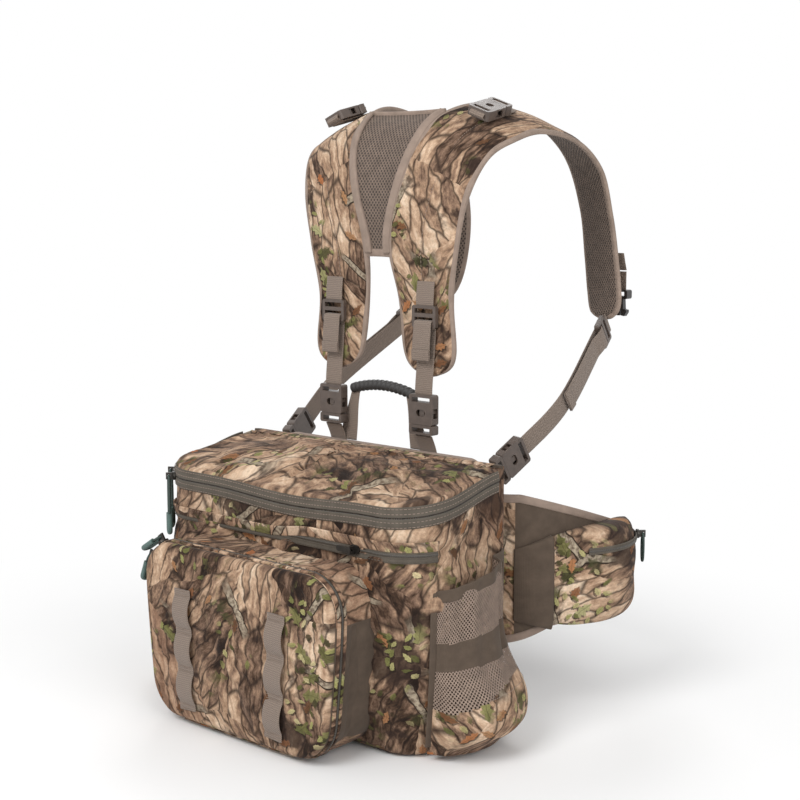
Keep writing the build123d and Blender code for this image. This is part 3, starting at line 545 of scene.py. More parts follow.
def noise(tree, vector, scale, detail=2.0, rough=0.5):
    """Noise texture's value."""
    made = node(
        tree, "TexNoise", None, Vector=vector, Scale=scale, Detail=detail, Roughness=rough
    )
    return made.outputs["Fac"]


def shader_group(name, inputs, outputs):
    """An empty shader node group with named sockets: (tree, its inputs, its outputs)."""
    tree = bpy.data.node_groups.new(name, "ShaderNodeTree")
    for label, kind, value in inputs:
        made = tree.interface.new_socket(label, in_out="INPUT", socket_type="NodeSocket" + kind)
        if value is not None:
            made.default_value = value
    for label, kind in outputs:
        tree.interface.new_socket(label, in_out="OUTPUT", socket_type="NodeSocket" + kind)
    given = tree.nodes.new("NodeGroupInput").outputs
    wanted = tree.nodes.new("NodeGroupOutput").inputs
    return tree, given, wanted


def placed(tree, group, **sockets):
    """A shader group placed in a tree."""
    made = tree.nodes.new("ShaderNodeGroup")
    made.node_tree = group
    for key, value in sockets.items():
        feed(tree, made.inputs[key.replace("_", " ")], value)
    return made.outputs


def seen_directly(tree):
    """1 on rays that show a surface to the camera, also by way of gloss or glass."""
    ray = node(tree, "LightPath")
    return calc(tree, "MAXIMUM", ray.outputs["Is Camera Ray"], calc(
        tree, "MAXIMUM", ray.outputs["Is Glossy Ray"], ray.outputs["Is Transmission Ray"]
    ))


def rgb(code):
    """Linear colour of a six-digit screen colour."""
    values = np.array([int(code[k:k + 2], 16) for k in (0, 2, 4)]) / 255
    linear = np.where(values <= 0.04045, values / 12.92, ((values + 0.055) / 1.055) ** 2.4)
    return tuple(float(value) for value in linear)


def leaf_scatter():
    """Scattered leaves: each random cell holds one leaf, turned at random. Its half width
    is a parabola along its length, notched by a cosine; a midrib and slanting veins."""
    tree, given, wanted = shader_group(
        "leaf_scatter",
        [("Vector", "Vector", None), ("Cells", "Float", 20.0), ("Width", "Float", 0.2),
         ("Notches", "Float", 0.2), ("Cover", "Float", 0.4)],
        [("Mask", "Float"), ("Tone", "Float"), ("Vein", "Float")],
    )
    scaled = move(tree, "SCALE", given["Vector"], given["Cells"])
    cell = node(tree, "TexVoronoi", {"voronoi_dimensions": "2D"}, Vector=scaled, Scale=1.0)
    draw = node(tree, "SeparateColor", None, Color=cell.outputs["Color"])
    local = move(tree, "SUBTRACT", scaled, cell.outputs["Position"])
    turned = node(
        tree, "VectorRotate", {"rotation_type": "Z_AXIS"}, Vector=local,
        Angle=calc(tree, "MULTIPLY", draw.outputs["Red"], 6.283),
    )
    place = node(tree, "SeparateXYZ", None, Vector=turned.outputs[0])
    along = calc(tree, "DIVIDE", place.outputs["X"], 0.46)
    aside = calc(tree, "ABSOLUTE", place.outputs["Y"])
    parabola = calc(tree, "SUBTRACT", 1.0, calc(tree, "MULTIPLY", along, along))
    wave = calc(tree, "COSINE", calc(tree, "MULTIPLY", along, 13.0))
    notch = calc(tree, "MULTIPLY_ADD", wave, given["Notches"], 1.0)
    half = calc(tree, "MULTIPLY", calc(tree, "MULTIPLY", parabola, given["Width"]), notch)
    inside = calc(tree, "SUBTRACT", half, aside)
    chosen = calc(tree, "LESS_THAN", draw.outputs["Green"], given["Cover"])
    tree.links.new(
        calc(tree, "MULTIPLY", rising(tree, inside, 0.0, 0.045), chosen), wanted["Mask"]
    )
    tree.links.new(draw.outputs["Blue"], wanted["Tone"])
    slant = calc(tree, "ADD", calc(tree, "MULTIPLY", along, 0.46), aside)
    ribs = rising(tree, calc(tree, "SINE", calc(tree, "MULTIPLY", slant, 55.0)), 0.75, 1.0)
    midrib = rising(tree, aside, 0.022, 0.008)
    tree.links.new(
        calc(tree, "MAXIMUM", calc(tree, "MULTIPLY", ribs, 0.5), midrib), wanted["Vein"]
    )
    return tree


def woodland_print(leaves):
    """Woodland print: plates of bark turned from patch to patch, hollows between them,
    fallen twigs, and three sizes of leaves with their shadows."""
    tree, given, wanted = shader_group(
        "woodland_print", [("Vector", "Vector", None)], [("Color", "Color")]
    )
    cloth = given["Vector"]
    wobble = node(tree, "TexNoise", None, Vector=cloth, Scale=22.0, Detail=3.0)
    bend = move(tree, "SCALE", move(tree, "SUBTRACT", wobble.outputs["Color"], (0.5,) * 3), 0.022)
    warped = move(tree, "ADD", cloth, bend)
    patch = node(tree, "TexVoronoi", {"voronoi_dimensions": "2D"}, Vector=warped, Scale=7.5)
    draw = node(tree, "SeparateColor", None, Color=patch.outputs["Color"])
    lean = calc(tree, "MULTIPLY", calc(tree, "SUBTRACT", draw.outputs["Red"], 0.5), 1.7)
    grain = node(
        tree, "VectorRotate", {"rotation_type": "Z_AXIS"}, Vector=warped, Angle=lean
    ).outputs[0]
    grain = move(tree, "MULTIPLY", grain, (1.0, 0.3, 1.0))
    plates = node(tree, "TexVoronoi", {"voronoi_dimensions": "2D"}, Vector=grain, Scale=66.0)
    plate = node(tree, "SeparateColor", None, Color=plates.outputs["Color"])
    edge = node(
        tree, "TexVoronoi", {"voronoi_dimensions": "2D", "feature": "DISTANCE_TO_EDGE"},
        Vector=grain, Scale=66.0,
    )
    streaks = noise(tree, grain, 150.0, 8.0, 0.66)
    tone = calc(tree, "MULTIPLY_ADD", plate.outputs["Green"], 0.26, streaks)
    tone = calc(tree, "ADD", tone, calc(tree, "MULTIPLY", draw.outputs["Blue"], 0.22))
    broad = calc(tree, "SUBTRACT", noise(tree, cloth, 7.0, 3.0), 0.5)
    tone = calc(tree, "MULTIPLY_ADD", broad, 1.35, calc(tree, "SUBTRACT", tone, 0.13))
    bark = ramp(
        tree, tone, (0.3, rgb("241a15")), (0.42, rgb("4a382c")), (0.54, rgb("775f4f")),
        (0.65, rgb("9d8068")), (0.78, rgb("bfa288")), (0.95, rgb("d8c1a8")),
    )
    rosy = rising(tree, draw.outputs["Green"], 0.6, 0.75)
    bark = mixed(tree, calc(tree, "MULTIPLY", rosy, 0.35), bark, rgb("93705a"))
    crack = calc(tree, "MULTIPLY", rising(tree, edge.outputs["Distance"], 0.12, 0.0), 0.8)
    bark = mixed(tree, crack, bark, rgb("261c17"))
    hollow = rising(tree, noise(tree, warped, 13.0, 5.0, 0.6), 0.555, 0.62)
    bark = mixed(tree, calc(tree, "MULTIPLY", hollow, 0.85), bark, rgb("30241f"))
    twig = node(
        tree, "TexVoronoi", {"voronoi_dimensions": "2D", "feature": "DISTANCE_TO_EDGE"},
        Vector=warped, Scale=12.0,
    ).outputs["Distance"]
    shown = rising(tree, noise(tree, cloth, 8.0, 1.0), 0.54, 0.6)
    bark = mixed(
        tree, calc(tree, "MULTIPLY", shown, rising(tree, twig, 0.064, 0.054)), bark,
        rgb("30261f"),
    )
    twig_tone = ramp(
        tree, noise(tree, warped, 260.0, 3.0), (0.35, rgb("66574a")), (0.62, rgb("a39682"))
    )
    bark = mixed(
        tree, calc(tree, "MULTIPLY", shown, rising(tree, twig, 0.046, 0.038)), bark, twig_tone
    )
    clump = rising(tree, noise(tree, cloth, 9.0, 2.0), 0.49, 0.56)
    layers = [
        (34.0, 0.22, 0.30, 0.55, (0.013, 0.021, 0.0), clump,
         [(0.0, rgb("3f3f27")), (0.4, rgb("636139")), (0.75, rgb("858253")), (1.0, rgb("aba679"))]),
        (46.0, 0.2, 0.2, 0.13, (0.41, 0.27, 0.0), None,
         [(0.0, rgb("5b3f2c")), (0.4, rgb("85583b")), (0.75, rgb("a67c58")), (1.0, rgb("a9683f"))]),
        (88.0, 0.24, 0.12, 0.42, (0.73, 0.55, 0.0), clump,
         [(0.0, rgb("35301f")), (0.4, rgb("6f7040")), (0.7, rgb("9d9a62")), (1.0, rgb("c4b48c"))]),
    ]
    for cells, width, notches, cover, shift, where, stops in layers:
        moved = move(tree, "ADD", warped, shift)
        leaf = placed(
            tree, leaves, Vector=moved, Cells=cells, Width=width, Notches=notches, Cover=cover
        )
        shade = placed(
            tree, leaves, Vector=move(tree, "ADD", moved, (-0.0016, 0.0020, 0.0)),
            Cells=cells, Width=width, Notches=notches, Cover=cover,
        )
        mask, dark = leaf["Mask"], calc(tree, "MULTIPLY", shade["Mask"], 0.7)
        if where is not None:
            mask, dark = calc(tree, "MULTIPLY", mask, where), calc(tree, "MULTIPLY", dark, where)
        bark = mixed(tree, dark, bark, rgb("261e17"))
        leaf_colour = ramp(tree, leaf["Tone"], *stops)
        leaf_colour = mixed(
            tree, calc(tree, "MULTIPLY", leaf["Vein"], 0.45), leaf_colour, rgb("3a3420")
        )
        bark = mixed(tree, calc(tree, "MULTIPLY", mask, 0.88), bark, leaf_colour)
    grainy = calc(tree, "MULTIPLY_ADD", noise(tree, cloth, 300.0, 5.0, 0.7), 1.5, 0.22)
    tree.links.new(mixed(tree, 0.75, bark, grainy, "MULTIPLY"), wanted["Color"])
    return tree


def plain_weave():
    """Plain weave: two crossed sets of rounded threads, over and under in turn."""
    tree, given, wanted = shader_group(
        "plain_weave", [("Vector", "Vector", None), ("Threads", "Float", 1400.0)],
        [("Height", "Float")],
    )
    place = node(tree, "SeparateXYZ", None, Vector=move(
        tree, "SCALE", given["Vector"], given["Threads"]
    ))
    waves_x = calc(tree, "SINE", place.outputs["X"])
    waves_y = calc(tree, "SINE", place.outputs["Y"])
    over = calc(tree, "MAXIMUM", calc(tree, "ABSOLUTE", waves_x), calc(tree, "ABSOLUTE", waves_y))
    tree.links.new(over, wanted["Height"])
    return tree


def webbing_weave():
    """Webbing: slanting ribs that turn back and forth across the width."""
    tree, given, wanted = shader_group(
        "webbing_weave", [("Vector", "Vector", None), ("Pitch", "Float", 0.0021)],
        [("Height", "Float"), ("Tone", "Float")],
    )
    place = node(tree, "SeparateXYZ", None, Vector=given["Vector"])
    rows = calc(tree, "MULTIPLY", calc(
        tree, "DIVIDE", place.outputs["Y"], calc(tree, "MULTIPLY", given["Pitch"], 2.2)
    ), 6.283)
    column = calc(tree, "ABSOLUTE", calc(tree, "SINE", rows))
    slant = calc(tree, "MULTIPLY_ADD", column, 0.0011, place.outputs["X"])
    rib = calc(tree, "SINE", calc(
        tree, "MULTIPLY", calc(tree, "DIVIDE", slant, given["Pitch"]), 6.283
    ))
    height = calc(tree, "MULTIPLY_ADD", rib, 0.5, 0.5)
    tree.links.new(height, wanted["Height"])
    # Tone is random fuzz plus the rib height, so the grooves between ribs come out darker: painted
    # shade.
    fuzz = noise(tree, given["Vector"], 900.0, 2.0)
    tree.links.new(calc(tree, "MULTIPLY_ADD", fuzz, 0.5, calc(
        tree, "MULTIPLY", height, 0.5
    )), wanted["Tone"])
    return tree


def net_holes():
    """Knitted net: rows of holes set half a step apart. Open is 1 inside a hole."""
    tree, given, wanted = shader_group(
        "net_holes", [("Vector", "Vector", None), ("Pitch", "Float", 0.0032)],
        [("Open", "Float"), ("Height", "Float")],
    )
    place = node(tree, "SeparateXYZ", None, Vector=given["Vector"])
    turn = calc(tree, "DIVIDE", 3.1416, given["Pitch"])
    total = calc(tree, "MULTIPLY", calc(
        tree, "ADD", place.outputs["X"], calc(tree, "MULTIPLY", place.outputs["Y"], 0.75)
    ), turn)
    across = calc(tree, "MULTIPLY", calc(
        tree, "SUBTRACT", place.outputs["X"], calc(tree, "MULTIPLY", place.outputs["Y"], 0.75)
    ), turn)
    hole = calc(tree, "MULTIPLY", calc(
        tree, "ABSOLUTE", calc(tree, "SINE", total)
    ), calc(tree, "ABSOLUTE", calc(tree, "SINE", across)))
    tree.links.new(hole, wanted["Open"])
    tree.links.new(calc(tree, "SUBTRACT", 1.0, hole), wanted["Height"])
    return tree


def new_material(name, roughness=0.85):
    """A material with its shader, and the cloth coordinates of the piece."""
    material = bpy.data.materials.new(name)
    material.use_nodes = True
    tree = material.node_tree
    shader = tree.nodes["Principled BSDF"]
    shader.inputs["Roughness"].default_value = roughness
    cloth = node(tree, "UVMap", {"uv_map": "cloth"}).outputs[0]
    return material, tree, shader, cloth


def raised(tree, shader, height, depth, distance=0.0004):
    """Bump from a height."""
    made = node(tree, "Bump", None, Height=height, Strength=depth, Distance=distance)
    tree.links.new(made.outputs[0], shader.inputs["Normal"])
    return made


def solid_colour(tree, colour, vector, scale, spread=0.22):
    """A colour varied lighter and darker by noise."""
    shade = noise(tree, vector, scale, 4.0, 0.6)
    low = tuple(channel * (1 - spread) for channel in colour)
    high = tuple(min(channel * (1 + spread), 1.0) for channel in colour)
    return ramp(tree, shade, (0.3, low), (0.7, high))


def make_materials(colours, sizes):
    """Every material of the pack by name."""
    made = {}
    leaves, weave, ribs, net = leaf_scatter(), plain_weave(), webbing_weave(), net_holes()
    woods = woodland_print(leaves)

    def camo(name, turn):
        material, tree, shader, cloth = new_material(name, 0.82)
        print_map = node(tree, "Mapping", None, Vector=cloth)
        print_map.inputs["Rotation"].default_value = (0, 0, turn)
        print_map.inputs["Scale"].default_value = (1 / sizes.print_scale,) * 3
        colour = placed(tree, woods, Vector=print_map.outputs[0])["Color"]
        threads = placed(tree, weave, Vector=cloth, Threads=3600.0)["Height"]
        tree.links.new(colour, shader.inputs["Base Color"])
        rumple = calc(tree, "MULTIPLY_ADD", noise(tree, cloth, 90.0, 4.0), 3.0, threads)
        raised(tree, shader, rumple, 0.35)
        shader.inputs["Sheen Weight"].default_value = 0.03
        shader.inputs["Specular IOR Level"].default_value = 0.12
        return material

    made["camo"] = camo("camo_fabric", 0.0)
    made["camo_turned"] = camo("camo_fabric_turned", 1.45)

    def fabric(name, colour, threads, roughness=0.86, depth=0.4):
        material, tree, shader, cloth = new_material(name, roughness)
        base = solid_colour(tree, colour, cloth, 60.0, 0.16)
        height = placed(tree, weave, Vector=cloth, Threads=threads)["Height"]
        # The weave's height darkens the colour where the threads sink: painted shade in the gaps of
        # the weave.
        tree.links.new(
            mixed(tree, 0.35, base, calc(tree, "MULTIPLY_ADD", height, 0.5, 0.6), "MULTIPLY"),
            shader.inputs["Base Color"],
        )
        rumple = calc(tree, "MULTIPLY_ADD", noise(tree, cloth, 110.0, 3.0), 2.0, height)
        raised(tree, shader, rumple, depth)
        shader.inputs["Sheen Weight"].default_value = 0.05
        shader.inputs["Specular IOR Level"].default_value = 0.2
        return material

    made["plain"] = fabric("plain_fabric", colours.plain, 3000.0)
    made["binding"] = fabric("binding_tape", colours.binding, 2600.0)
    made["lining"] = fabric("lining_fabric", [0.8 * c for c in colours.plain], 3600.0)
    made["zip_tape"] = fabric("zip_tape", colours.zip, 2600.0, 0.8, 0.3)

    material, tree, shader, cloth = new_material("webbing", 0.8)
    woven = placed(tree, ribs, Vector=cloth)
    low = tuple(0.62 * channel for channel in colours.webbing)
    high = tuple(1.25 * channel for channel in colours.webbing)
    # Colour from the weave's tone: random fuzz, with painted shade in the grooves between the ribs.
    tree.links.new(
        ramp(tree, woven["Tone"], (0.2, low), (0.75, high)), shader.inputs["Base Color"]
    )
    raised(tree, shader, woven["Height"], 0.6, 0.0006)
    shader.inputs["Sheen Weight"].default_value = 0.15
    made["webbing"] = material

    material, tree, shader, cloth = new_material("open_net", 0.8)
    holes = placed(tree, net, Vector=cloth, Pitch=0.0036)
    tree.links.new(
        solid_colour(tree, [1.5 * c for c in colours.mesh], cloth, 80.0),
        shader.inputs["Base Color"],
    )
    tree.links.new(rising(tree, holes["Open"], 0.56, 0.46), shader.inputs["Alpha"])
    raised(tree, shader, holes["Height"], 0.5, 0.0006)
    made["net"] = material

    material, tree, shader, cloth = new_material("spacer_mesh", 0.85)
    holes = placed(tree, net, Vector=cloth, Pitch=0.0046)
    pit = rising(tree, holes["Open"], 0.42, 0.72)
    base = solid_colour(tree, colours.mesh, cloth, 80.0)
    # The pits are drawn near black: painted shade in the holes of the mesh.
    tree.links.new(
        mixed(tree, calc(tree, "MULTIPLY", pit, 0.85), base, rgb("1d1713")),
        shader.inputs["Base Color"],
    )
    raised(tree, shader, calc(tree, "SUBTRACT", 1.0, pit), 0.9, 0.0008)
    made["spacer"] = material

    material, tree, shader, cloth = new_material("zip_coil", 0.45)
    tree.links.new(
        solid_colour(tree, [0.55 * c for c in colours.zip], cloth, 300.0),
        shader.inputs["Base Color"],
    )
    raised(tree, shader, noise(tree, cloth, 1500.0), 0.2, 0.0002)
    made["coil"] = material

    material, tree, shader, cloth = new_material("thread", 0.7)
    tree.links.new(
        solid_colour(tree, [1.25 * c for c in colours.webbing], cloth, 700.0),
        shader.inputs["Base Color"],
    )
    raised(tree, shader, noise(tree, cloth, 2400.0), 0.4, 0.0002)
    made["thread"] = material

    def moulded(name, colour, roughness, coat=0.0, grain=900.0):
        material, tree, shader, _ = new_material(name, roughness)
        place = node(tree, "TexCoord").outputs["Object"]
        shade = noise(tree, place, 35.0, 4.0, 0.6)
        tree.links.new(solid_colour(tree, colour, place, 120.0, 0.18), shader.inputs["Base Color"])
        tree.links.new(
            calc(tree, "MULTIPLY_ADD", shade, 0.3, roughness - 0.15), shader.inputs["Roughness"]
        )
        raised(tree, shader, noise(tree, place, grain, 2.0), 0.18, 0.0002)
        shader.inputs["Coat Weight"].default_value = coat
        return material

    made["buckle"] = moulded("buckle_plastic", colours.buckle, 0.42, 0.1)
    made["dark_plastic"] = moulded("dark_plastic", (0.03, 0.027, 0.026), 0.4, 0.1)
    made["grip"] = moulded("pull_grip", colours.grip, 0.5)
    made["handle"] = moulded("handle_rubber", colours.handle, 0.6)
    made["stiffener"] = moulded("stiffener", (0.05, 0.05, 0.05), 0.6)
    made["slider"] = moulded("slider_metal", (0.05, 0.045, 0.04), 0.38)
    made["slider"].node_tree.nodes["Principled BSDF"].inputs["Metallic"].default_value = 0.8

    material, tree, shader, cloth = new_material("braided_cord", 0.75)
    place = node(tree, "TexCoord").outputs["Object"]
    braid = node(
        tree, "TexWave", {"bands_direction": "DIAGONAL"}, Vector=place, Scale=260.0, Distortion=1.0
    ).outputs["Fac"]
    # The braid's low bands, which the bump sinks, are darker: painted shade in its grooves.
    low = tuple(0.5 * channel for channel in colours.cord)
    tree.links.new(
        ramp(tree, braid, (0.2, low), (0.8, tuple(colours.cord))), shader.inputs["Base Color"]
    )
    raised(tree, shader, braid, 0.4, 0.0003)
    made["cord"] = material
    return made


MATERIALS = {}


def material(name):
    """A material of the pack, all of them made when the first is asked for."""
    if not MATERIALS:
        scene = bpy.context.scene
        MATERIALS.update(make_materials(scene.pack_colours, scene.pack_sizes))
    return MATERIALS[name]


# ------------------------------------------------------------------ camera, light and cords
CAMERA_TARGET = Vector((0.015, 0.105, 0.342))
CAMERA_PLACE = Vector((1.119, -1.165, 0.5845))
CAMERA_LENS = 66.5
FLOOR_DROP = 0.0005


def add_lamp(name, place, aim, size, power):
    """A square soft lamp."""
    lamp = bpy.data.lights.new(name, "AREA")
    lamp.size = size
    lamp.energy = power
    holder = bpy.data.objects.new(name, lamp)
    holder.location = place
    holder.rotation_euler = (Vector(aim) - Vector(place)).to_track_quat("-Z", "Y").to_euler()
    bpy.context.scene.collection.objects.link(holder)


class PACK_OT_stage(bpy.types.Operator):
    """Set up the camera, the lamps and the pale floor"""

    bl_idname = "pack.stage"
    bl_label = "Stage"

    def execute(self, context):
        camera = bpy.data.objects.new("camera", bpy.data.cameras.new("camera"))
        camera.data.lens = CAMERA_LENS
        camera.data.sensor_width = 36.0
        camera.location = CAMERA_PLACE
        aim = CAMERA_TARGET - CAMERA_PLACE
        camera.rotation_euler = aim.to_track_quat("-Z", "Y").to_euler()
        context.scene.collection.objects.link(camera)
        context.scene.camera = camera
        context.scene.view_settings.view_transform = "Standard"

        half = 6.0
        corners = np.array([(-half, -half), (half, -half), (-half, half), (half, half)])
        floor = bpy.data.meshes.new("floor")
        flat = np.concatenate([corners, np.full((4, 1), -FLOOR_DROP)], axis=1)
        floor.from_pydata(flat.tolist(), [], [(0, 1, 3, 2)])
        ground = bpy.data.objects.new("floor", floor)
        paper = bpy.data.materials.new("white_paper")
        paper.use_nodes = True
        tree = paper.node_tree
        shader = tree.nodes["Principled BSDF"]
        place = node(tree, "TexCoord").outputs["Object"]
        tree.links.new(
            ramp(tree, noise(tree, place, 3.0), (0.3, (0.86,) * 3), (0.7, (0.88,) * 3)),
            shader.inputs["Base Color"],
        )
        shader.inputs["Roughness"].default_value = 0.9
        # Away from the pack the paper is plain white, as the background is.
        seen = seen_directly(tree)
        distance = node(tree, "VectorMath", {"operation": "LENGTH"}, Vector=place).outputs["Value"]
        white = node(tree, "Emission", None, Color=(1, 1, 1, 1), Strength=1.0)
        fade = tree.nodes.new("ShaderNodeMixShader")
        tree.links.new(
            calc(tree, "MULTIPLY", rising(tree, distance, 0.34, 0.85), seen), fade.inputs[0]
        )
        tree.links.new(shader.outputs[0], fade.inputs[1])
        tree.links.new(white.outputs[0], fade.inputs[2])
        tree.links.new(fade.outputs[0], tree.nodes["Material Output"].inputs["Surface"])
        floor.materials.append(paper)
        context.scene.collection.objects.link(ground)

        world = bpy.data.worlds.new("studio")
        world.use_nodes = True
        tree = world.node_tree
        dim = tree.nodes["Background"]
        dim.inputs["Color"].default_value = (1, 1, 1, 1)
        dim.inputs["Strength"].default_value = 0.55
        white = node(tree, "Background", None, Color=(1, 1, 1, 1), Strength=1.0)
        seen = seen_directly(tree)
        both = tree.nodes.new("ShaderNodeMixShader")
        tree.links.new(seen, both.inputs[0])
        tree.links.new(dim.outputs[0], both.inputs[1])
        tree.links.new(white.outputs[0], both.inputs[2])
        tree.links.new(both.outputs[0], tree.nodes["World Output"].inputs["Surface"])
        context.scene.world = world

        add_lamp("key", (0.2, -2.4, 2.3), (0, 0, 0.3), 1.6, 62)
        add_lamp("fill", (2.4, -0.6, 1.4), (0, 0.1, 0.3), 1.8, 26)
        add_lamp("back", (-1.6, 1.8, 2.2), (0, 0, 0.35), 1.4, 24)
        return {"FINISHED"}


CORD_R = 1.5
LOOP_HALF = 4.6
LOOP_L, SHORT_LOOP_L = 66.0, 32.0
CORD_GAP = 0.4
# eye of each slider, the direction of the hole through it, and how far its loop leans out
PULLS = [
    ("main", "rear", (-195.49, -60.8, 257.68), 302.0, 0.0, LOOP_L),
    ("main", "front", (-177.61, -79.32, 255.79), 326.0, 0.0, LOOP_L),
    ("front", "side", (-148.77, -130.0, 178.69), 270.0, 22.0, SHORT_LOOP_L),
    ("front", "top", (-131.83, -130.0, 200.37), 270.0, 58.0, SHORT_LOOP_L),
    ("pouch", "right", (242.15, 268.59, 191.0), 134.0, 0.0, SHORT_LOOP_L),
    ("pouch", "left", (-242.15, 268.59, 191.0), 46.0, 0.0, SHORT_LOOP_L),
]


class PACK_OT_pull_cords(bpy.types.Operator):
    """Thread a cord loop through the eye of every zip slider"""

    bl_idname = "pack.pull_cords"
    bl_label = "Pull cords"

    def execute(self, context):
        for zip_name, where, eye, heading, lean, length in PULLS:
            turn, tilt = np.radians(heading), np.radians(lean)
            through_eye = np.array((np.cos(turn), np.sin(turn), 0.0))
            outward = np.cross(through_eye, Z)
            up = Z * np.cos(tilt) - outward * np.sin(tilt)
            route = [
                (CORD_GAP, 0), (LOOP_HALF, 0), (LOOP_HALF, -length), (-LOOP_HALF, -length),
                (-LOOP_HALF, 0), (-CORD_GAP, 0),
            ]
            points = [(np.array(eye) + through_eye * x + up * y) * MM for x, y in route]
            name = f"{zip_name}_pull_cord_{where}"
            curve = bpy.data.curves.new(f"{name}_braid", "CURVE")
            curve.dimensions = "3D"
            curve.bevel_depth = CORD_R * MM
            curve.bevel_resolution = 4
            curve.use_fill_caps = True
            spline = curve.splines.new("NURBS")
            spline.points.add(len(points) - 1)
            for control, point in zip(spline.points, points):
                control.co = (*point, 1.0)
            spline.order_u = 3
            spline.use_endpoint_u = True
            spline.resolution_u = 12
            loop = bpy.data.objects.new(f"{name}_braid", curve)
            context.scene.collection.objects.link(loop)
            body = f"{zip_name}_pull_{where}"
            dress(loop, body, "pull_cord", material("cord"), replaces=[name])
        return {"FINISHED"}


# ------------------------------------------------------------------ hardware from the frame
class PACK_OT_hardware(bpy.types.Operator):
    """Give the frame's moulded and metal pieces their finishes"""

    bl_idname = "pack.hardware"
    bl_label = "Buckles, sliders and grips"

    def execute(self, context):
        finishes = {
            "socket": "buckle", "plug": "buckle", "ladder_locks": "buckle", "slider": "slider",
            "grip": "grip", "frame_sheet": "stiffener",
        }
        for name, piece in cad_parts.items():
            for word, finish in finishes.items():
                if word in name:
                    chosen = "dark_plastic" if "sternum" in name else finish
                    piece.data.materials.clear()
                    piece.data.materials.append(material(chosen))
                    break
        return {"FINISHED"}


# ------------------------------------------------------------------ bag body and lid
PLAN_COUNT = 361


def bag_outline(rear=None, rear_r=REAR_R):
    """The bag's plan outline and its outward normals."""
    rear = BAG_REAR if rear is None else rear
    outline = plan_outline(BAG_W, BAG_FRONT, rear, FRONT_R, rear_r, PLAN_COUNT)
    return outline, outline_normals(outline)


def wall_points(outline, normals, out, z):
    """Rows of points at a distance out from the outline and a height z, per row and column."""
    out = np.broadcast_to(out, (len(out), len(outline)))
    z = np.broadcast_to(z, out.shape)
    flat = outline[None] + normals[None] * out[..., None]
    return np.concatenate([flat, z[..., None]], axis=-1)


def to_middle(ring, shares, middle):
    """Rows that shrink a ring towards a middle point; a share of 1 is the ring."""
    return middle + (ring[None] - middle) * np.asarray(shares)[:, None, None]


class PACK_OT_bag_body(bpy.types.Operator):
    """Sew the main bag body: a walled shell that folds softly"""

    bl_idname = "pack.bag_body"
    bl_label = "Bag body"

    def execute(self, context):
        sizes = context.scene.pack_sizes
        outline, normals = bag_outline()
        y = outline[:, 1]
        seam_z = zip_z(y, outline[:, 0])
        rim = seam_z - 0.3 + (HINGE_Z - seam_z + 0.3) * smooth_step(y, LID_REAR, LID_REAR + 2)
        # Outer wall: the offset is a fold height times a mask that fades at seam and base.
        share = np.linspace(0, 1, 56)[:, None]
        z = BASE_R + (rim - BASE_R) * share
        wall = wall_points(outline, normals, np.zeros_like(z), z)
        calm = smooth_step(share, 0, 0.12) * (1 - smooth_step(share, 0.82, 0.97))
        depth = sizes.fold_depth / MM
        fold = waves(wall, 110, 11, (1, 1, 1.5)) * 1.1 + waves(wall, 44, 12, (1, 1, 2.0)) * 0.45
        fold -= creases(wall, 140, 13, (1.2, 1.2, 0.8), 0.10) * 1.2
        belly = BELLY * np.sin(np.pi * share ** 0.8) * (1 - smooth_step(z, 186, 212))
        belly = belly - BASE_TAPER * (1 - share) ** 3
        flat_back = 1 - smooth_step(y, BAG_REAR - 25, BAG_REAR - 6)
        seam = -1.1 * np.exp(-((z - SLASH_Z - 9) / 1.4) ** 2)
        wall = wall_points(
            outline, normals, (depth * fold * calm + belly + seam) * flat_back, z
        )
        turn = np.linspace(0, np.pi / 2, 7)[:-1]
        base = wall_points(
            outline, normals, (-BASE_R * (1 - np.sin(turn)))[:, None] - BASE_TAPER * flat_back,
            (BASE_R * (1 - np.cos(turn)))[:, None] + 0 * y,
        )
        under = to_middle(base[0], (0, 0.3, 0.6, 0.85), np.array((0, 0, 0.0)))
        roll = np.linspace(0, np.pi, 5)[1:-1]
        edge = wall_points(
            outline, normals, (-WALL / 2 + WALL / 2 * np.cos(roll))[:, None] + 0 * y,
            rim + 0.8 * np.sin(roll)[:, None],
        )
        low = np.linspace(0, 1, 9)[:, None]
        inner = wall_points(
            outline, normals, -WALL - 11.0 * low ** 2 * flat_back, rim + (FLOOR_T + 6 - rim) * low
        )
        floor_ring = wall_points(
            outline, normals, -WALL - 6.0 - 11.0 * flat_back[None], np.full((1, 1), FLOOR_T) + 0 * y
        )
        bottom = to_middle(floor_ring[0], (0.8, 0.5, 0), np.array((0, 0, FLOOR_T)))
        grid = np.concatenate([under, base, wall, edge, inner, floor_ring, bottom])
        outside = len(under) + len(base) + len(wall)
        kinds = np.array([0] * outside + [1] * (len(grid) - outside - 1))[:, None]
        piece = add_piece("bag_body", [grid], [cloth_uv(grid)], [kinds])
        dress(
            piece, "pack", "camo_fabric", material("camo"), material("lining"),
            replaces=["bag_shell"],
        )

        def held(points):
            x, y, z = np.abs(points[:, 0]), points[:, 1], points[:, 2]
            inner = (y > BAG_FRONT + WALL - 1.5) | (x > BAG_W / 2 - FRONT_R)
            inner &= x < BAG_W / 2 - WALL + 1.5
            return (z > SLASH_Z - 16) | (z < 3) | (y > BAG_REAR - 20) | inner

        settled(piece, held, 5.0, 1.2)
        return {"FINISHED"}


def roof_z(y):
    """Height of the lid's roof edge."""
    return ROOF_FRONT_Z + (HINGE_Z - ROOF_FRONT_Z) * (y - BAG_FRONT) / (BAG_REAR - BAG_FRONT)


def hinge_strip(name, half, route):
    """A thin strip of fabric, from -half to half in x, along a route in y and z."""
    places = np.linspace(-half, half, 60)
    route = rounded(route, 2)
    under = route - np.array((0.3, 0.8))
    loop = np.vstack([route, under[::-1], route[:1]])
    grid = np.stack([np.insert(loop, 0, x, axis=1) for x in places])
    grid = np.concatenate([closed_end(grid, 0), grid, closed_end(grid, -1)])
    return add_piece(name, [grid], [cloth_uv(grid)])


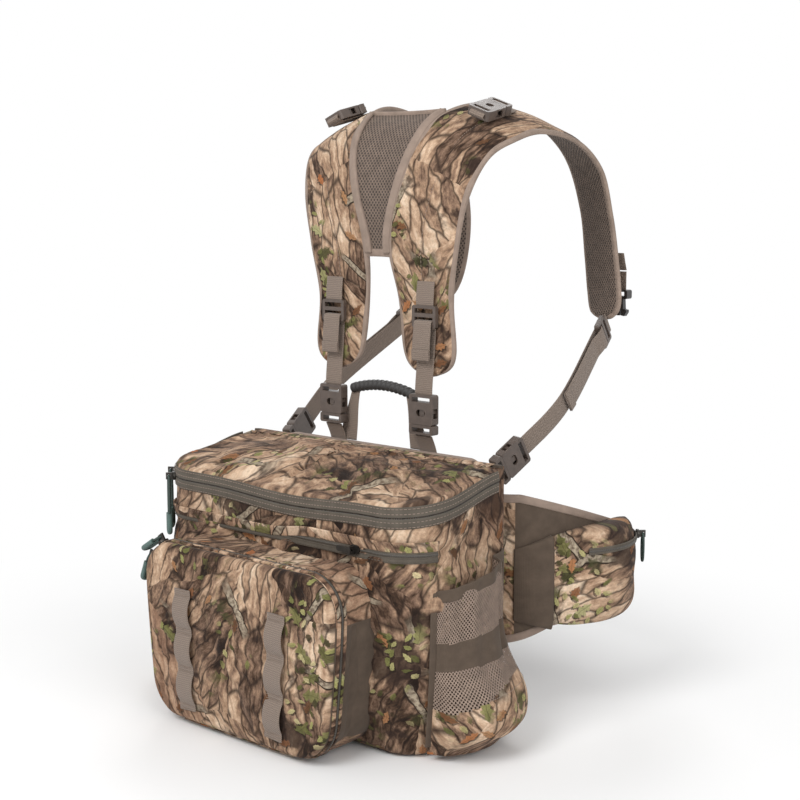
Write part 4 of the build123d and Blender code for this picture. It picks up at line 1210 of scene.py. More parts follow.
class PACK_OT_lid(bpy.types.Operator):
    """Sew the domed lid, and the fabric that hinges it to the rear wall"""

    bl_idname = "pack.lid"
    bl_label = "Lid"

    def execute(self, context):
        sizes = context.scene.pack_sizes
        outline, normals = bag_outline(LID_REAR, 3.0)
        y = outline[:, 1]
        seam = zip_z(y, outline[:, 0]) + 0.5
        roof = roof_z(y) - 3.0 * (seam < zip_z(y))
        edge_r = 5.0
        share = np.linspace(0, 1, 6)[:, None]
        side = wall_points(
            outline, normals, 0 * share + 0 * y, seam + (roof - edge_r - seam) * share
        )
        turn = np.linspace(0, np.pi / 2, 6)[1:, None]
        bend = wall_points(
            outline, normals, -edge_r * (1 - np.cos(turn)) + 0 * y,
            roof - edge_r * (1 - np.sin(turn)),
        )
        middle = np.array((0, (BAG_FRONT + LID_REAR) / 2, roof_z((BAG_FRONT + LID_REAR) / 2)))
        shrink = np.cos(np.linspace(0, np.pi / 2, 46))[1:]
        top = to_middle(bend[-1], shrink, middle)
        # Dome: a rise of one less the square of the distance from the middle, with soft folds.
        rise = sizes.lid_rise / MM * (1 - shrink ** 2)[:, None]
        calm = smooth_step(1 - shrink, 0.01, 0.12)[:, None]
        fold = waves(top, 95, 21) * 1.5 + waves(top, 42, 22) * 0.5
        fold = fold - creases(top, 120, 23, width=0.1)
        top[..., 2] += rise + calm * fold
        inner_side = wall_points(
            outline, normals, -4.0 + 0 * share + 0 * y, seam + (roof - 8 - seam) * share
        )
        inner_top = to_middle(inner_side[-1], (0.8, 0.5, 0.2, 0), middle - (0, 0, 4.0))
        outer = np.concatenate([side, bend, top])
        inner = np.concatenate([inner_side, inner_top])
        grid = np.concatenate([outer[::-1], inner])
        kinds = np.array([0] * (len(outer) - 1) + [1] * len(inner))[:, None]
        flat_uv = grid[..., :2] + grid[..., 2:] * (0, -1) + np.array((260.0, 330.0))
        piece = add_piece("lid_cover", [grid], [flat_uv], [kinds])
        dress(
            piece, "lid", "camo_fabric", material("camo_turned"), material("lining"),
            replaces=["lid"],
        )

        def held(points):
            rim = np.abs(points[:, 0]) > BAG_W / 2 - 7
            rim |= (points[:, 1] < BAG_FRONT + 7) | (points[:, 1] > LID_REAR - 8)
            return rim | (points[:, 2] < roof_z(points[:, 1]) - 2)

        settled(piece, held, 6.0, 1.6, 0.04)

        # Hinge: a strip of the lid's own fabric over the top of the rear wall.
        half = BAG_W / 2 - REAR_R - 4
        route = np.array([(LID_REAR - 9, HINGE_Z - 0.6), (LID_REAR - 3, HINGE_Z + 0.7),
                          (LID_REAR + 1, HINGE_Z + 1.0), (BAG_REAR - 0.5, HINGE_Z + 0.8),
                          (BAG_REAR + 0.1, HINGE_Z - 2.5)])
        strip = hinge_strip("lid_hinge_fabric", half, route)
        strip.data.materials.append(material("camo_turned"))
        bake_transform(strip)
        return {"FINISHED"}


# ------------------------------------------------------------------ zips
TOOTH, COIL_W, COIL_T = 2.4, 3.4, 1.5
THREAD_W, THREAD_T, THREAD_RISE = 0.75, 0.6, 0.35


def coil_line(name, line, out, body, replaces=()):
    """A row of coil teeth: a small section that swells once for each tooth."""
    length = lengths_along(line)[-1]
    count = int(length / TOOTH) * 4 + 1
    line = resample(line, count)
    out = through(out, np.linspace(0, len(out) - 1, count))
    section = oval_section(COIL_W, COIL_T, 8, 0.8)
    swell = 0.82 + 0.18 * np.cos(np.arange(count) * np.pi / 2)
    grid = carried(line, np.cross(out, tangents(line)), section, swell=swell)
    piece = add_piece(name, [grid], [strip_uv(grid, section)])
    return dress(piece, body, "zip", material("coil"), replaces=replaces)


def main_zip_line(low, out):
    """Line round the bag's sides and front beside the seam, with its outward directions."""
    outline, normals = bag_outline()
    span = true_span(outline[:, 1] < LID_REAR - REAR_R)
    outline, normals = outline[span], normals[span]
    z = zip_z(outline[:, 1], outline[:, 0]) + low
    line = np.concatenate([outline + normals * out, z[:, None]], axis=1)
    return line, np.concatenate([normals, np.zeros((len(normals), 1))], axis=1)


class PACK_OT_main_zip(bpy.types.Operator):
    """Sew the two halves of the main zip"""

    bl_idname = "pack.main_zip"
    bl_label = "Main zip"

    def execute(self, context):
        lean = 0.12
        for name, body, middle, coil, sign, nodes in (
            ("main_zip_lower_tape", "pack", -6.0, -1.5, -1, ["zip_chains"]),
            ("main_zip_upper_tape", "lid", 6.2, 1.7, 1, ["main_zip_upper"]),
        ):
            line, out = main_zip_line(middle, 1.1)
            across = Z + sign * -lean * out
            strap(name, line, across, ZIP_TAPE + 1.6, 1.9, "zip_tape", body, "zip", nodes)
            line, out = main_zip_line(coil, 1.6)
            coil_line(name.replace("tape", "coil"), line, out, body)
            for row, offset in (("inner", middle - sign * 1.8), ("outer", middle + sign * 3.4)):
                line, out = main_zip_line(offset, 1.95)
                stitch_row(f"{name}_{row}_stitches", line, out, body)
        return {"FINISHED"}


def stitch_row(name, line, out, body, pitch=None, slot="webbing", thread="thread"):
    """A row of stitches: short threads laid end to end along a line, standing a little out."""
    pitch = pitch or bpy.context.scene.pack_sizes.stitch_pitch / MM
    length = lengths_along(line)[-1]
    count = max(int(length / pitch), 2)
    at = np.linspace(0, len(line) - 1, count + 1)
    ends = through(line, at)
    out = unit(through(np.broadcast_to(out, line.shape), at))
    section = oval_section(THREAD_W, THREAD_T, 6, 1.0)
    begin, finish = ends[:-1], ends[1:]
    share = np.array((0.08, 0.25, 0.5, 0.75, 0.92))
    rise = THREAD_RISE * np.sin(np.pi * share)
    rows = (
        begin[:, None] + (finish - begin)[:, None] * share[None, :, None]
        + out[:-1, None] * rise[None, :, None]
    )
    size = np.array((0.2, 0.9, 1.0, 0.9, 0.2))
    ahead = unit(finish - begin)
    side = np.cross(ahead, out[:-1])
    ring = (
        rows[:, :, None] + side[:, None, None] * (section[:, 0] * size[:, None])[None, ..., None]
        + out[:-1, None, None] * (section[:, 1] * size[:, None])[None, ..., None]
    )
    caps_first = np.repeat(rows[:, :1, None], len(section), axis=2)
    caps_last = np.repeat(rows[:, -1:, None], len(section), axis=2)
    ring = np.concatenate([caps_first, ring, caps_last], axis=1)
    piece = add_piece(name, ring, ring[..., :2])
    return dress(piece, body, slot, material(thread))


def pocket_outline(grow, count=241):
    """Rounded outline of the front pocket in x and z, from the middle of its base."""
    plan = plan_outline(
        POCKET_W + 2 * grow, -(POCKET_TOP - POCKET_BASE) / 2 - grow,
        (POCKET_TOP - POCKET_BASE) / 2 + grow, POCKET_R + grow, POCKET_R + grow, count,
    )
    return plan + np.array((0, (POCKET_TOP + POCKET_BASE) / 2)), outline_normals(plan)


def drawn_in(z):
    """How far the front pocket's width is drawn in at a height: a power of the drop from
    its top."""
    drop = np.clip((POCKET_TOP - 40 - z) / (POCKET_TOP - 40 - POCKET_BASE), 0, 1)
    return 1 - POCKET_TAPER * drop ** 1.4


def in_front_view(flat, y):
    """Points drawn in x and z, placed at y, with the pocket's taper."""
    y = np.broadcast_to(y, flat.shape[:-1])
    return np.stack([flat[..., 0] * drawn_in(flat[..., 1]), y, flat[..., 1]], axis=-1)


class PACK_OT_small_zips(bpy.types.Operator):
    """Sew the flat pocket's zip, the front pocket's zip and the belt pouches' zips"""

    bl_idname = "pack.small_zips"
    bl_label = "Pocket zips"

    def execute(self, context):
        # Flat pocket: tape and coil round the right, under a welt over the rest.
        outline, normals = bag_outline()
        span = true_span(outline[:, 1] < BAG_FRONT + 0.75 * FRONT_R)
        flat, out = outline[span], normals[span]
        up = np.full((len(flat), 1), SLASH_Z)
        out = np.concatenate([out, 0 * up], axis=1)
        line = np.concatenate([flat, up], axis=1)
        tape = line + out * 1.7 - Z * 2
        strap("flat_pocket_tape", tape, Z, 13.0, 1.5, "zip_tape", slot="zip")
        coil_line("flat_pocket_coil", line + out * 2.5, out, "pack")
        for row, drop in (("low", 6.6), ("high", 2.8)):
            under = line + out * 2.6 - Z * drop
            stitch_row(f"flat_pocket_{row}_stitches", under, out, "pack", thread="zip_tape")
        shown = line[:, 0]
        lift = -3.4 + 7.4 * smooth_step(shown, -10.0, 60.0)
        welt = line + out * 3.2 + Z * (4.6 + lift)[:, None]
        strap("flat_pocket_welt", welt, Z + 0.2 * out, 11.0, 2.2, "camo", slot="camo_fabric")
        stitch_row("flat_pocket_stitches", welt + Z * 3.4 + out * 1.2, out, "pack")

        # Front pocket: two camo welts that nearly meet over the coil.
        ring, away = pocket_outline(0.0)
        span = true_span(ring[:, 1] > POCKET_BASE + POCKET_R)
        ring, away = ring[span], away[span]
        out = in_front_view(away, 0.0)
        for side, sign in (("rear", 1), ("front", -1)):
            line = in_front_view(ring + away * 1.0, FRONT_ZIP_Y + sign * 4.6)
            lean = Y + sign * -0.25 * out
            strap(f"front_pocket_welt_{side}", line, lean, 4.4, 2.0, "camo", slot="camo_fabric")
        tape = in_front_view(ring + away * 0.3, FRONT_ZIP_Y)
        strap("front_pocket_tape", tape, Y, 8.4, 1.2, "zip_tape", slot="zip")
        coil_line("front_pocket_coil", in_front_view(ring + away * 1.3, FRONT_ZIP_Y), out, "pack")

        for side, flip in sides():
            centre, radius = pouch_bow()
            turn = np.radians(np.linspace(-34, 50, 60))
            out = np.stack([np.cos(turn), np.sin(turn), 0 * turn], axis=1)
            line = np.array((*centre, POUCH_ZIP_Z)) + out * (radius + 0.9)
            strap(f"pouch_zip_tape_{side}", line * flip, Z, 7.6, 1.2, "zip_tape", slot="zip")
            coil_line(f"pouch_zip_coil_{side}", (line + out * 0.6) * flip, out * flip, "pack")
        return {"FINISHED"}


# ------------------------------------------------------------------ front pocket
class PACK_OT_front_pocket(bpy.types.Operator):
    """Sew the front pocket: its gusset and its stuffed front panel"""

    bl_idname = "pack.front_pocket"
    bl_label = "Front pocket"

    def execute(self, context):
        ring, away = pocket_outline(0.0)
        rows = 22
        share = np.linspace(0, 1, rows)[:, None]
        at_wall = BAG_FRONT + 1.5 + BASE_TAPER * (1 - ring[None, :, 1] / ZIP_FRONT_Z) ** 3
        y = at_wall + (GUSSET_FRONT - at_wall) * share
        flat = np.broadcast_to(ring, (rows, *ring.shape))
        outer = in_front_view(flat, y)
        calm = np.sin(np.pi * np.clip(share * 1.12, 0, 1))
        on_side = smooth_step(np.abs(away[:, 0]), 0.6, 0.95) * (ring[:, 1] < 150)
        fold = waves(outer, 60, 31, (1, 1.4, 0.8)) * 1.1
        fold = fold - creases(outer, 90, 32, (1, 1.2, 0.5), 0.12)
        bellows = -3.2 * on_side * np.exp(-((share - 0.5) / 0.16) ** 2)
        out = fold * calm + bellows
        outer = in_front_view(flat + away * out[..., None], y)
        inner = in_front_view(flat - away * 3.0, y)
        grid = np.concatenate([outer, inner[::-1], outer[:1]])
        plain = (on_side[:-1] > 0.5).astype(int)
        kinds = np.concatenate([
            np.broadcast_to(plain, (rows - 1, len(plain))), np.full((rows + 1, len(plain)), 1)
        ])
        gusset = add_piece("front_pocket_side", [grid], [cloth_uv(grid)], [kinds])
        dress(
            gusset, "pack", "gusset_fabric", material("camo"), material("plain"),
            replaces=["front_pocket_gusset"],
        )

        # Panel: rings shrink to the middle; the face is a pillow with a seam down each side.
        ring, away = pocket_outline(-0.2, 321)
        middle = np.array((0.0, (POCKET_TOP + POCKET_BASE) / 2))
        back_y, front_y = PANEL_HIGH[1], PANEL_LOW[1]
        edge_r = 7.0
        turn = np.linspace(0, np.pi / 2, 7)
        bend = in_front_view(
            ring[None] - away[None] * (edge_r * (1 - np.cos(turn)))[:, None, None],
            (front_y + edge_r - edge_r * np.sin(turn))[:, None],
        )
        shrink = np.cos(np.linspace(0, np.pi / 2, 60))[1:]
        inner_ring = ring - away * edge_r
        face = in_front_view(middle + (inner_ring - middle) * shrink[:, None, None], front_y)
        bulge = PANEL_BULGE * (1 - shrink ** 2.2)[:, None] * (
            0.75 + 0.5 * smooth_step(-face[..., 2], -150, -40)
        )
        fold = waves(face, 85, 33) * 1.0 + waves(face, 34, 34) * 0.35
        fold -= creases(face, 110, 35, (1, 1, 1.3), 0.09) * 1.2
        seam_x = 113 - 55 * smooth_step(face[..., 2], 128, 188)
        seam = -1.7 * np.exp(-((np.abs(face[..., 0]) - seam_x) / 1.8) ** 2)
        fade = smooth_step(1 - shrink, 0.01, 0.08)[:, None]
        face[..., 1] -= bulge + fade * (fold + seam)
        back = in_front_view(
            middle + (ring - middle) * np.array((1, 0.5, 0))[:, None, None], back_y
        )
        grid = np.concatenate([face[::-1], bend[::-1], back])
        flat_uv = grid[..., [0, 2]] + np.array((30.0, 210.0))
        kinds = np.array([0] * (len(face) + len(bend)) + [1] * (len(back) - 1))[:, None]
        panel = add_piece("front_panel_cover", [grid], [flat_uv], [kinds])
        dress(
            panel, "front_panel", "camo_fabric", material("camo"), material("lining"),
            replaces=["front_panel"],
        )

        def held(points):
            under_webbing = np.abs(np.abs(points[:, 0]) - DAISY_X * drawn_in(points[:, 2]))
            return (points[:, 1] > front_y - 0.5) | (under_webbing < WEB_W / 2 + 4)

        settled(panel, held, 6.0, 1.6, 0.04)

        half = POCKET_W / 2 * drawn_in(POCKET_BASE) - POCKET_R - 4
        route = np.array([(GUSSET_FRONT + 4, POCKET_BASE - 0.1), (GUSSET_FRONT, POCKET_BASE - 0.7),
                          (back_y, POCKET_BASE - 0.7), (back_y - 4, POCKET_BASE - 0.1)])
        strip = hinge_strip("front_panel_hinge_fabric", half, route)
        strip.data.materials.append(material("camo"))
        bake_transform(strip)
        return {"FINISHED"}


class PACK_OT_daisy_chains(bpy.types.Operator):
    """Sew the two webbing ladders on the front panel, with their bar tacks"""

    bl_idname = "pack.daisy_chains"
    bl_label = "Daisy chains"

    def execute(self, context):
        for side, flip in sides():
            on_panel = PANEL_LOW[1] - 5.2
            route, tacks = [], []
            for loop in range(DAISY_LOOPS):
                low = DAISY_BASE + loop * DAISY_PITCH
                rise = np.linspace(0, 1, 9)
                start, end = low + DAISY_TACK, low + DAISY_PITCH
                route += [(on_panel, low), (on_panel, start - 0.5)]
                lifted = on_panel - 1.35 * DAISY_RISE * np.sin(np.pi * rise) ** 0.8
                route += list(zip(lifted, start + (end - start) * rise))
                tacks.append(low + DAISY_TACK / 2)
            top = DAISY_BASE + DAISY_LOOPS * DAISY_PITCH
            route += [(on_panel, top + 0.5), (on_panel, top + DAISY_TACK)]
            tacks.append(top + DAISY_TACK / 2)
            route = np.array(route)
            line = np.stack(
                [flip[0] * DAISY_X * drawn_in(route[:, 1]), route[:, 0], route[:, 1]], axis=1
            )
            line = resample(rounded(line, 1), 120)
            strap(
                f"daisy_chain_{side}", line, X, WEB_W, 1.6, body="front_panel",
                replaces=["daisy_chains"],
            )
            for number, z in enumerate(tacks):
                for row, lift in (("low", -2.2), ("high", 2.2)):
                    ends = np.array([(-WEB_W / 2 + 2, z + lift), (WEB_W / 2 - 2, z + lift)])
                    flat = resample(ends, 12)
                    place = flip[0] * DAISY_X * drawn_in(z)
                    bar = np.stack(
                        [flat[:, 0] + place, np.full(12, on_panel - 1.0), flat[:, 1]], axis=1
                    )
                    stitch_row(f"bar_tack_{side}_{number}_{row}", bar, -Y, "front_panel", 1.5)
        return {"FINISHED"}


# ------------------------------------------------------------------ bottle pockets
class PACK_OT_bottle_pockets(bpy.types.Operator):
    """Sew the net pockets at both sides, with their bands, bindings and lower panels"""

    bl_idname = "pack.bottle_pockets"
    bl_label = "Bottle pockets"

    def execute(self, context):
        meet = np.degrees(np.arccos((BAG_W / 2 + 0.6 - BOTTLE_X) / (BOTTLE_RX - 1)))
        turn = np.radians(np.linspace(-meet, meet, 110))[None]
        share = np.linspace(0, 1, 84)[:, None]
        y = BOTTLE_Y + BOTTLE_RY * np.sin(turn)
        mouth = BOTTLE_FRONT_Z + (BOTTLE_REAR_Z - BOTTLE_FRONT_Z) * (y - BOTTLE_Y + BOTTLE_RY) / (
            2 * BOTTLE_RY
        )
        z = BOTTLE_BASE + 1 + (mouth - BOTTLE_BASE - 1) * share
        # Outline: an ellipse, fuller near the base and drawn in at the mouth; folds fall
        # from the gathered binding.
        full = 1 + BOTTLE_BULGE * np.exp(-((share - 0.2) / 0.24) ** 2) - 0.04 * share ** 2
        full -= BOTTLE_TUCK * np.exp(-(share / 0.09) ** 2)
        ends = 1 - smooth_step(np.abs(turn), np.radians(meet - 14), np.radians(meet))
        gather = 2.4 * np.sin(turn * 13 + 0.8 * np.sin(turn * 3)) * (0.2 + 0.8 * share)
        dent = -11.0 * np.exp(-((turn - 0.42 - 0.25 * share) / 0.13) ** 2)
        dent = dent * smooth_step(share, 0.32, 0.6)
        fold = waves(np.stack(np.broadcast_arrays(turn * 60, z, 0 * z), axis=-1), 50, 41) * 1.6
        fold = fold * smooth_step(share, 0.05, 0.3)
        out = ends * ((full - 1) * BOTTLE_RX + gather * 0.5 + dent + fold)
        reach = np.cos(turn) * (BOTTLE_RX - 1) + BOTTLE_X
        reach = reach - (1 - ends) * BASE_TAPER * (1 - z / ZIP_FRONT_Z) ** 3
        grid = np.stack(np.broadcast_arrays(
            reach + out * np.cos(turn), y + out * np.sin(turn) * 0.5, z
        ), axis=-1)
        under = grid[:1] * np.array((1, 1, 0)) + np.array((0, 0, BOTTLE_BASE))
        wall_line = np.broadcast_to(np.array((BAG_W / 2 - 1.0, BOTTLE_Y, BOTTLE_BASE)), under.shape)
        floor_rows = [
            wall_line * (1 - s) + under * s * 0.97 + wall_line * s * 0.03 for s in (0, 0.5, 1)
        ]
        lower = 0.33 + 0.05 * np.sin(turn * 2 + 0.6)
        band_low, band_high = 0.5 - 0.02 * np.sin(turn), 0.66 - 0.02 * np.sin(turn)
        kinds = np.where(share < lower, 0, np.where((share > band_low) & (share < band_high), 2, 1))
        kinds = np.concatenate([np.zeros((3, kinds.shape[1]), int), kinds[:-1]])[:, :-1]
        for side, flip in sides():
            net = np.concatenate([*floor_rows, grid]) * flip
            piece = add_piece(f"bottle_pocket_net_{side}", [net], [cloth_uv(net)], [kinds])
            finish = piece.modifiers.new("cloth thickness", "SOLIDIFY")
            finish.thickness = 0.0009
            finish.offset = -1
            dress(
                piece, "pack", "mesh_fabric", material("camo"), material("net"), material("plain"),
                replaces=[f"bottle_pocket_{side}"],
            )
            rim = grid[-1] * flip - Z * 5.5
            strap(f"bottle_pocket_rim_{side}", rim, Z, 13.0, 2.2, "plain")
            for end, column, shift, across, width, thick in (
                ("front", 1, (1.0, -1.5, 0), (0.45, 0.9, 0), 7.0, 1.8),
                ("rear", -2, (1.0, 1.0, 0), (0.45, -0.9, 0), 6.0, 1.6),
            ):
                tape = grid[4:, column] * flip + flip * shift
                name = f"bottle_pocket_{end}_tape_{side}"
                strap(name, tape, flip * across, width, thick, "plain")
            seam = (grid[int(0.34 * len(grid))] + X * 0.7) * flip
            stitch_row(f"bottle_pocket_seam_{side}", seam, X * flip, "pack")
        return {"FINISHED"}


# ------------------------------------------------------------------ back pad and belt
class PACK_OT_back_pad(bpy.types.Operator):
    """Sew the padded back panel, with its air channel and sewn rows"""

    bl_idname = "pack.back_pad"
    bl_label = "Back pad"

    def execute(self, context):
        width, height = PAD_HIGH[0], PAD_HIGH[2]
        u = np.linspace(-1, 1, 121)[None]
        v = np.linspace(0, 1, 111)[:, None]
        z = height * (0.5 - 0.5 * np.cos(np.pi * v))
        top_r, low_r = 28.0, 14.0
        near_top, near_base = np.clip(z - height + top_r, 0, top_r), np.clip(low_r - z, 0, low_r)
        half = width - (top_r - np.sqrt(top_r ** 2 - near_top ** 2)) * 0.8
        half = half - (low_r - np.sqrt(low_r ** 2 - near_base ** 2))
        spread = np.sign(u) * (1 - (1 - np.abs(u)) ** 1.6)
        x = half * spread
        rim = (1 - np.abs(spread) ** 10) ** 0.4 * (1 - np.abs(2 * z / height - 1) ** 26) ** 0.4
        # The face is a pillow, cut by the air channel and by cosine rows of sewing.
        channel = np.exp(-((x / 15.0) ** 4)) * 7.0
        rows = 1.9 * np.exp(-((np.mod(z + 12, 58) - 29) / 2.4) ** 2) * (np.abs(x) < 132)
        columns = 1.6 * np.exp(-((np.abs(x) - 132) / 2.2) ** 2)
        depth = PAD_HIGH[1] - PAD_LOW[1]
        y = PAD_LOW[1] + 2 + (depth - 1.0) * rim - (channel + rows + columns) * rim
        y = np.maximum(y, PAD_LOW[1] + 0.4)
        x, y, z = np.broadcast_arrays(x, y, z)
        face = np.stack([x, y, z], axis=-1)
        back = np.stack([x, np.full_like(y, PAD_LOW[1] + 0.35), z], axis=-1)
        edge = np.concatenate([face[:, :1], back[:, :1]], axis=1)
        other = np.concatenate([face[:, -1:], back[:, -1:]], axis=1)
        low = np.concatenate([face[:1], back[:1]])
        high = np.concatenate([face[-1:], back[-1:]])
        grids = [face, back, edge, other, low, high]
        uvs = [grid[..., [0, 2]] for grid in grids]
        piece = add_piece("back_pad_cover", grids, uvs)
        dress(piece, "pack", "padded_fabric", material("spacer"), replaces=["back_pad"])
        ring = np.concatenate([
            np.stack([-half[:, 0], np.full(len(z), 84.0), z[:, 0]], axis=1),
            np.stack([half[::-1, 0], np.full(len(z), 84.0), z[::-1, 0]], axis=1),
        ])
        ring = np.vstack([ring, ring[:1]])
        ring = resample(rounded(ring, 2), 400)
        strap("back_pad_binding", ring, Y, 9.0, 2.2, "binding", closed=True)
        return {"FINISHED"}


def wing_line(at):
    """The right wing's middle line in plan, and its outward directions, at shares 0 to 1."""
    route = np.array(WING_ROUTE, float)
    fine = through(route, np.linspace(0, len(route) - 1, 400))
    fine = resample(fine, 400)
    points = through(fine, np.asarray(at, float) * 399)
    ahead = tangents(fine)
    ahead = unit(through(ahead, np.asarray(at, float) * 399))
    return points, np.stack([ahead[:, 1], -ahead[:, 0]], axis=1)


def pouch_bow():
    """Centre in plan and radius of the right pouch's bowed face."""
    at = np.array((POUCH_FROM, (POUCH_FROM + POUCH_TO) / 2, POUCH_TO))
    points, out = wing_line(at)
    away = np.array((WING_T / 2 + 0.6, POUCH_BULGE, WING_T / 2 + 0.6))[:, None]
    a, b, c = points + out * away
    rows = 2 * np.array((b - a, c - a))
    centre = np.linalg.solve(rows, np.array((b @ b - a @ a, c @ c - a @ a)))
    return centre, np.linalg.norm(a - centre)


class PACK_OT_belt(bpy.types.Operator):
    """Sew the padded belt wings, the belt pouches and the waist webbing"""

    bl_idname = "pack.belt"
    bl_label = "Belt"

    def execute(self, context):
        at = np.linspace(0, 1, 120)
        points, out = wing_line(at)
        y = points[:, 1]
        high = np.interp(y, (106, 310), (250, 182))
        low = np.interp(y, (96, 140, 310), (92, 108, 122))
        tip = np.sqrt(np.clip(1 - ((at - 0.94) / 0.06) ** 2, 0, 1))
        tip = np.where(at > 0.94, tip, 1.0)
        centre_z, half_z = (high + low) / 2, (high - low) / 2 * tip
        section = oval_section(2.0, 1.0, 40, 0.5)
        # Wing: thickness swells inside the edges, with two sewn rows along it.
        lift = section[:, 0]
        body = (WING_T - 1.0) * (1 - WING_SWELL * np.abs(lift) ** 4)
        body = body - 1.8 * np.exp(-((np.abs(lift) - 0.42) / 0.05) ** 2)
        thick = section[:, 1] * body
        grid = np.stack([
            points[:, None, 0] + out[:, None, 0] * thick[None],
            points[:, None, 1] + out[:, None, 1] * thick[None],
            centre_z[:, None] + half_z[:, None] * lift[None],
        ], axis=-1)
        grid = np.concatenate([closed_end(grid, 0), grid])
        uv = np.stack(np.broadcast_arrays(
            np.concatenate([[0], at])[:, None] * 260, grid[..., 2]
        ), axis=-1)
        edge = np.concatenate([
            np.stack([points[:, 0], points[:, 1], centre_z + half_z], axis=1),
            np.stack([points[::-1, 0], points[::-1, 1], (centre_z - half_z)[::-1]], axis=1),
        ])
        edge = resample(rounded(edge, 1), 300)
        drop = POUCH_Z - edge[:, 2:]
        inward = np.where(np.abs(drop) > 12, np.sign(drop) * Z, -Y)
        root = (np.concatenate([[0], at])[:-1] < 0.13).astype(int)[:, None]
        for side, flip in sides():
            piece = add_piece(f"belt_wing_cover_{side}", [grid * flip], [uv], [root])
            dress(
                piece, "pack", "padded_fabric", material("plain"), material("camo"),
                replaces=[f"belt_wing_{side}"],
            )
            name = f"belt_wing_binding_{side}"
            strap(name, edge * flip, inward * flip, 9.0, WING_T * 0.62, "binding")

        # Pouch: from the wing to its bow, rounded at the rim, in camo.
        share = np.linspace(0, 1, 90)
        places, outs = wing_line(POUCH_FROM + (POUCH_TO - POUCH_FROM) * share)
        centre, radius = pouch_bow()
        back = places + outs * (WING_T / 2 + 0.6)
        heading = unit(back - centre)
        bow = centre + heading * radius
        turn = np.linspace(0, np.pi, 46)
        up = -np.cos(turn)
        upright = np.sign(up) * np.abs(up) ** 0.5
        reach = np.sin(turn) ** 0.42
        half = POUCH_H / 2 * (1 - 0.16 * np.abs(2 * share - 1) ** 3)
        grid = back[:, None] + (bow - back)[:, None] * reach[None, :, None] * 0.99
        z = POUCH_Z + half[:, None] * upright[None]
        grid = np.concatenate([grid, z[..., None]], axis=-1)
        fold = waves(grid, 55, 51) * 1.1 - creases(grid, 70, 52, width=0.1) * 0.9
        calm = np.clip(reach[None] * np.sin(np.pi * share)[:, None] * 1.6, 0, 1)
        calm = calm * (1 - np.exp(-((z - POUCH_ZIP_Z) / 9.0) ** 2))
        grid[..., :2] += heading[:, None] * (fold * calm)[..., None]
        rear = np.concatenate([back, np.full((len(back), 1), 0.0)], axis=1)[:, None]
        rear = np.broadcast_to(rear, grid.shape).copy()
        rear[..., 2] = z
        kinds = np.zeros((len(share) - 1, len(turn) - 1), int)
        # Skirt: plain fabric that slopes from the wing up to the pouch's face, as half a
        # sine in height and a quarter sine in thickness.
        begin, to_begin = wing_line(np.linspace(0.13, POUCH_FROM + 0.035, 30))
        slope = np.linspace(0, 1, 30)
        lean_on = begin + to_begin * (WING_T / 2 + 0.4)
        swell = SKIRT_SWELL * np.sin(np.pi / 2 * slope) ** 1.2
        rise = np.sin(turn)[None] ** 0.5 * swell[:, None] + 0.3
        skirt = lean_on[:, None] + to_begin[:, None] * rise[..., None]
        skirt_z = POUCH_Z - 3 + (POUCH_H / 2 - 4 + 3 * slope)[:, None] * upright[None] * (
            0.8 + 0.2 * slope[:, None]
        )
        skirt = np.concatenate([skirt, skirt_z[..., None]], axis=-1)
        skirt_back = np.concatenate([
            np.broadcast_to(lean_on[:, None], (30, len(turn), 2)), skirt_z[..., None]
        ], axis=-1)
        ends = [np.stack([skirt[k], skirt_back[k]]) for k in (0, -1)]
        for side, flip in sides():
            faces = [grid * flip, rear * flip]
            uvs = [np.stack(np.broadcast_arrays(share[:, None] * 170 + 20, z), axis=-1)] * 2
            piece = add_piece(f"belt_pouch_cover_{side}", faces, uvs, [kinds, kinds])
            dress(
                piece, "pack", "camo_fabric", material("camo_turned"), material("plain"),
                replaces=[f"belt_pouch_{side}"],
            )
            faces = [face * flip for face in (skirt, skirt_back, *ends)]
            piece = add_piece(f"belt_pouch_skirt_{side}", faces, [face[..., 1:] for face in faces])
            dress(piece, "pack", "gusset_fabric", material("plain"))

        # Waist webbing: from the wing's tip round to the buckle.
        ends, _ = wing_line(np.array((0.97, 1.0)))
        front_y = 358 - BUCKLE_T / 2 - 0.3 - BELT_T / 2
        route = np.array([
            (*ends[0], BELT_Z), (*ends[1], BELT_Z), (177, 331, BELT_Z), (150, front_y - 12, BELT_Z),
            (105, front_y - 2, BELT_Z), (60, front_y, BELT_Z), (11, front_y, BELT_Z),
        ])
        line = through(route, np.linspace(0, len(route) - 1, 120))
        for side, flip in sides():
            strap(
                f"waist_webbing_{side}", line * flip, Z, BELT_W, BELT_T - 0.4,
                replaces=[f"belt_web_{side}"],
            )
        return {"FINISHED"}


# ------------------------------------------------------------------ shoulder harness
def pad_frame(at):
    """The right shoulder pad's middle line, its direction across, its outward direction and
    half its width, at places counted in stations."""
    covers = SHOULDER.copy()
    covers[:, 2] -= REACH_IN
    fine = through(covers, at)
    middle = np.stack([(fine[:, 2] + fine[:, 3]) / 2, fine[:, 0], fine[:, 1]], axis=1)
    profile = np.stack([0 * fine[:, 0], fine[:, 0], fine[:, 1]], axis=1)
    ahead = tangents(profile)
    inward = np.cross(ahead, X)
    roll = np.radians(fine[:, 4])[:, None]
    across = X * np.cos(roll) + inward * np.sin(roll)
    outward = X * np.sin(roll) - inward * np.cos(roll)
    return middle, across, outward, (fine[:, 3] - fine[:, 2]) / 2


PAD_ENDS = (0.0, 15.0)
PAD_TIP = 14.0
STITCHED = slice(30, 236)    # the rows of a pad with a seam down the middle


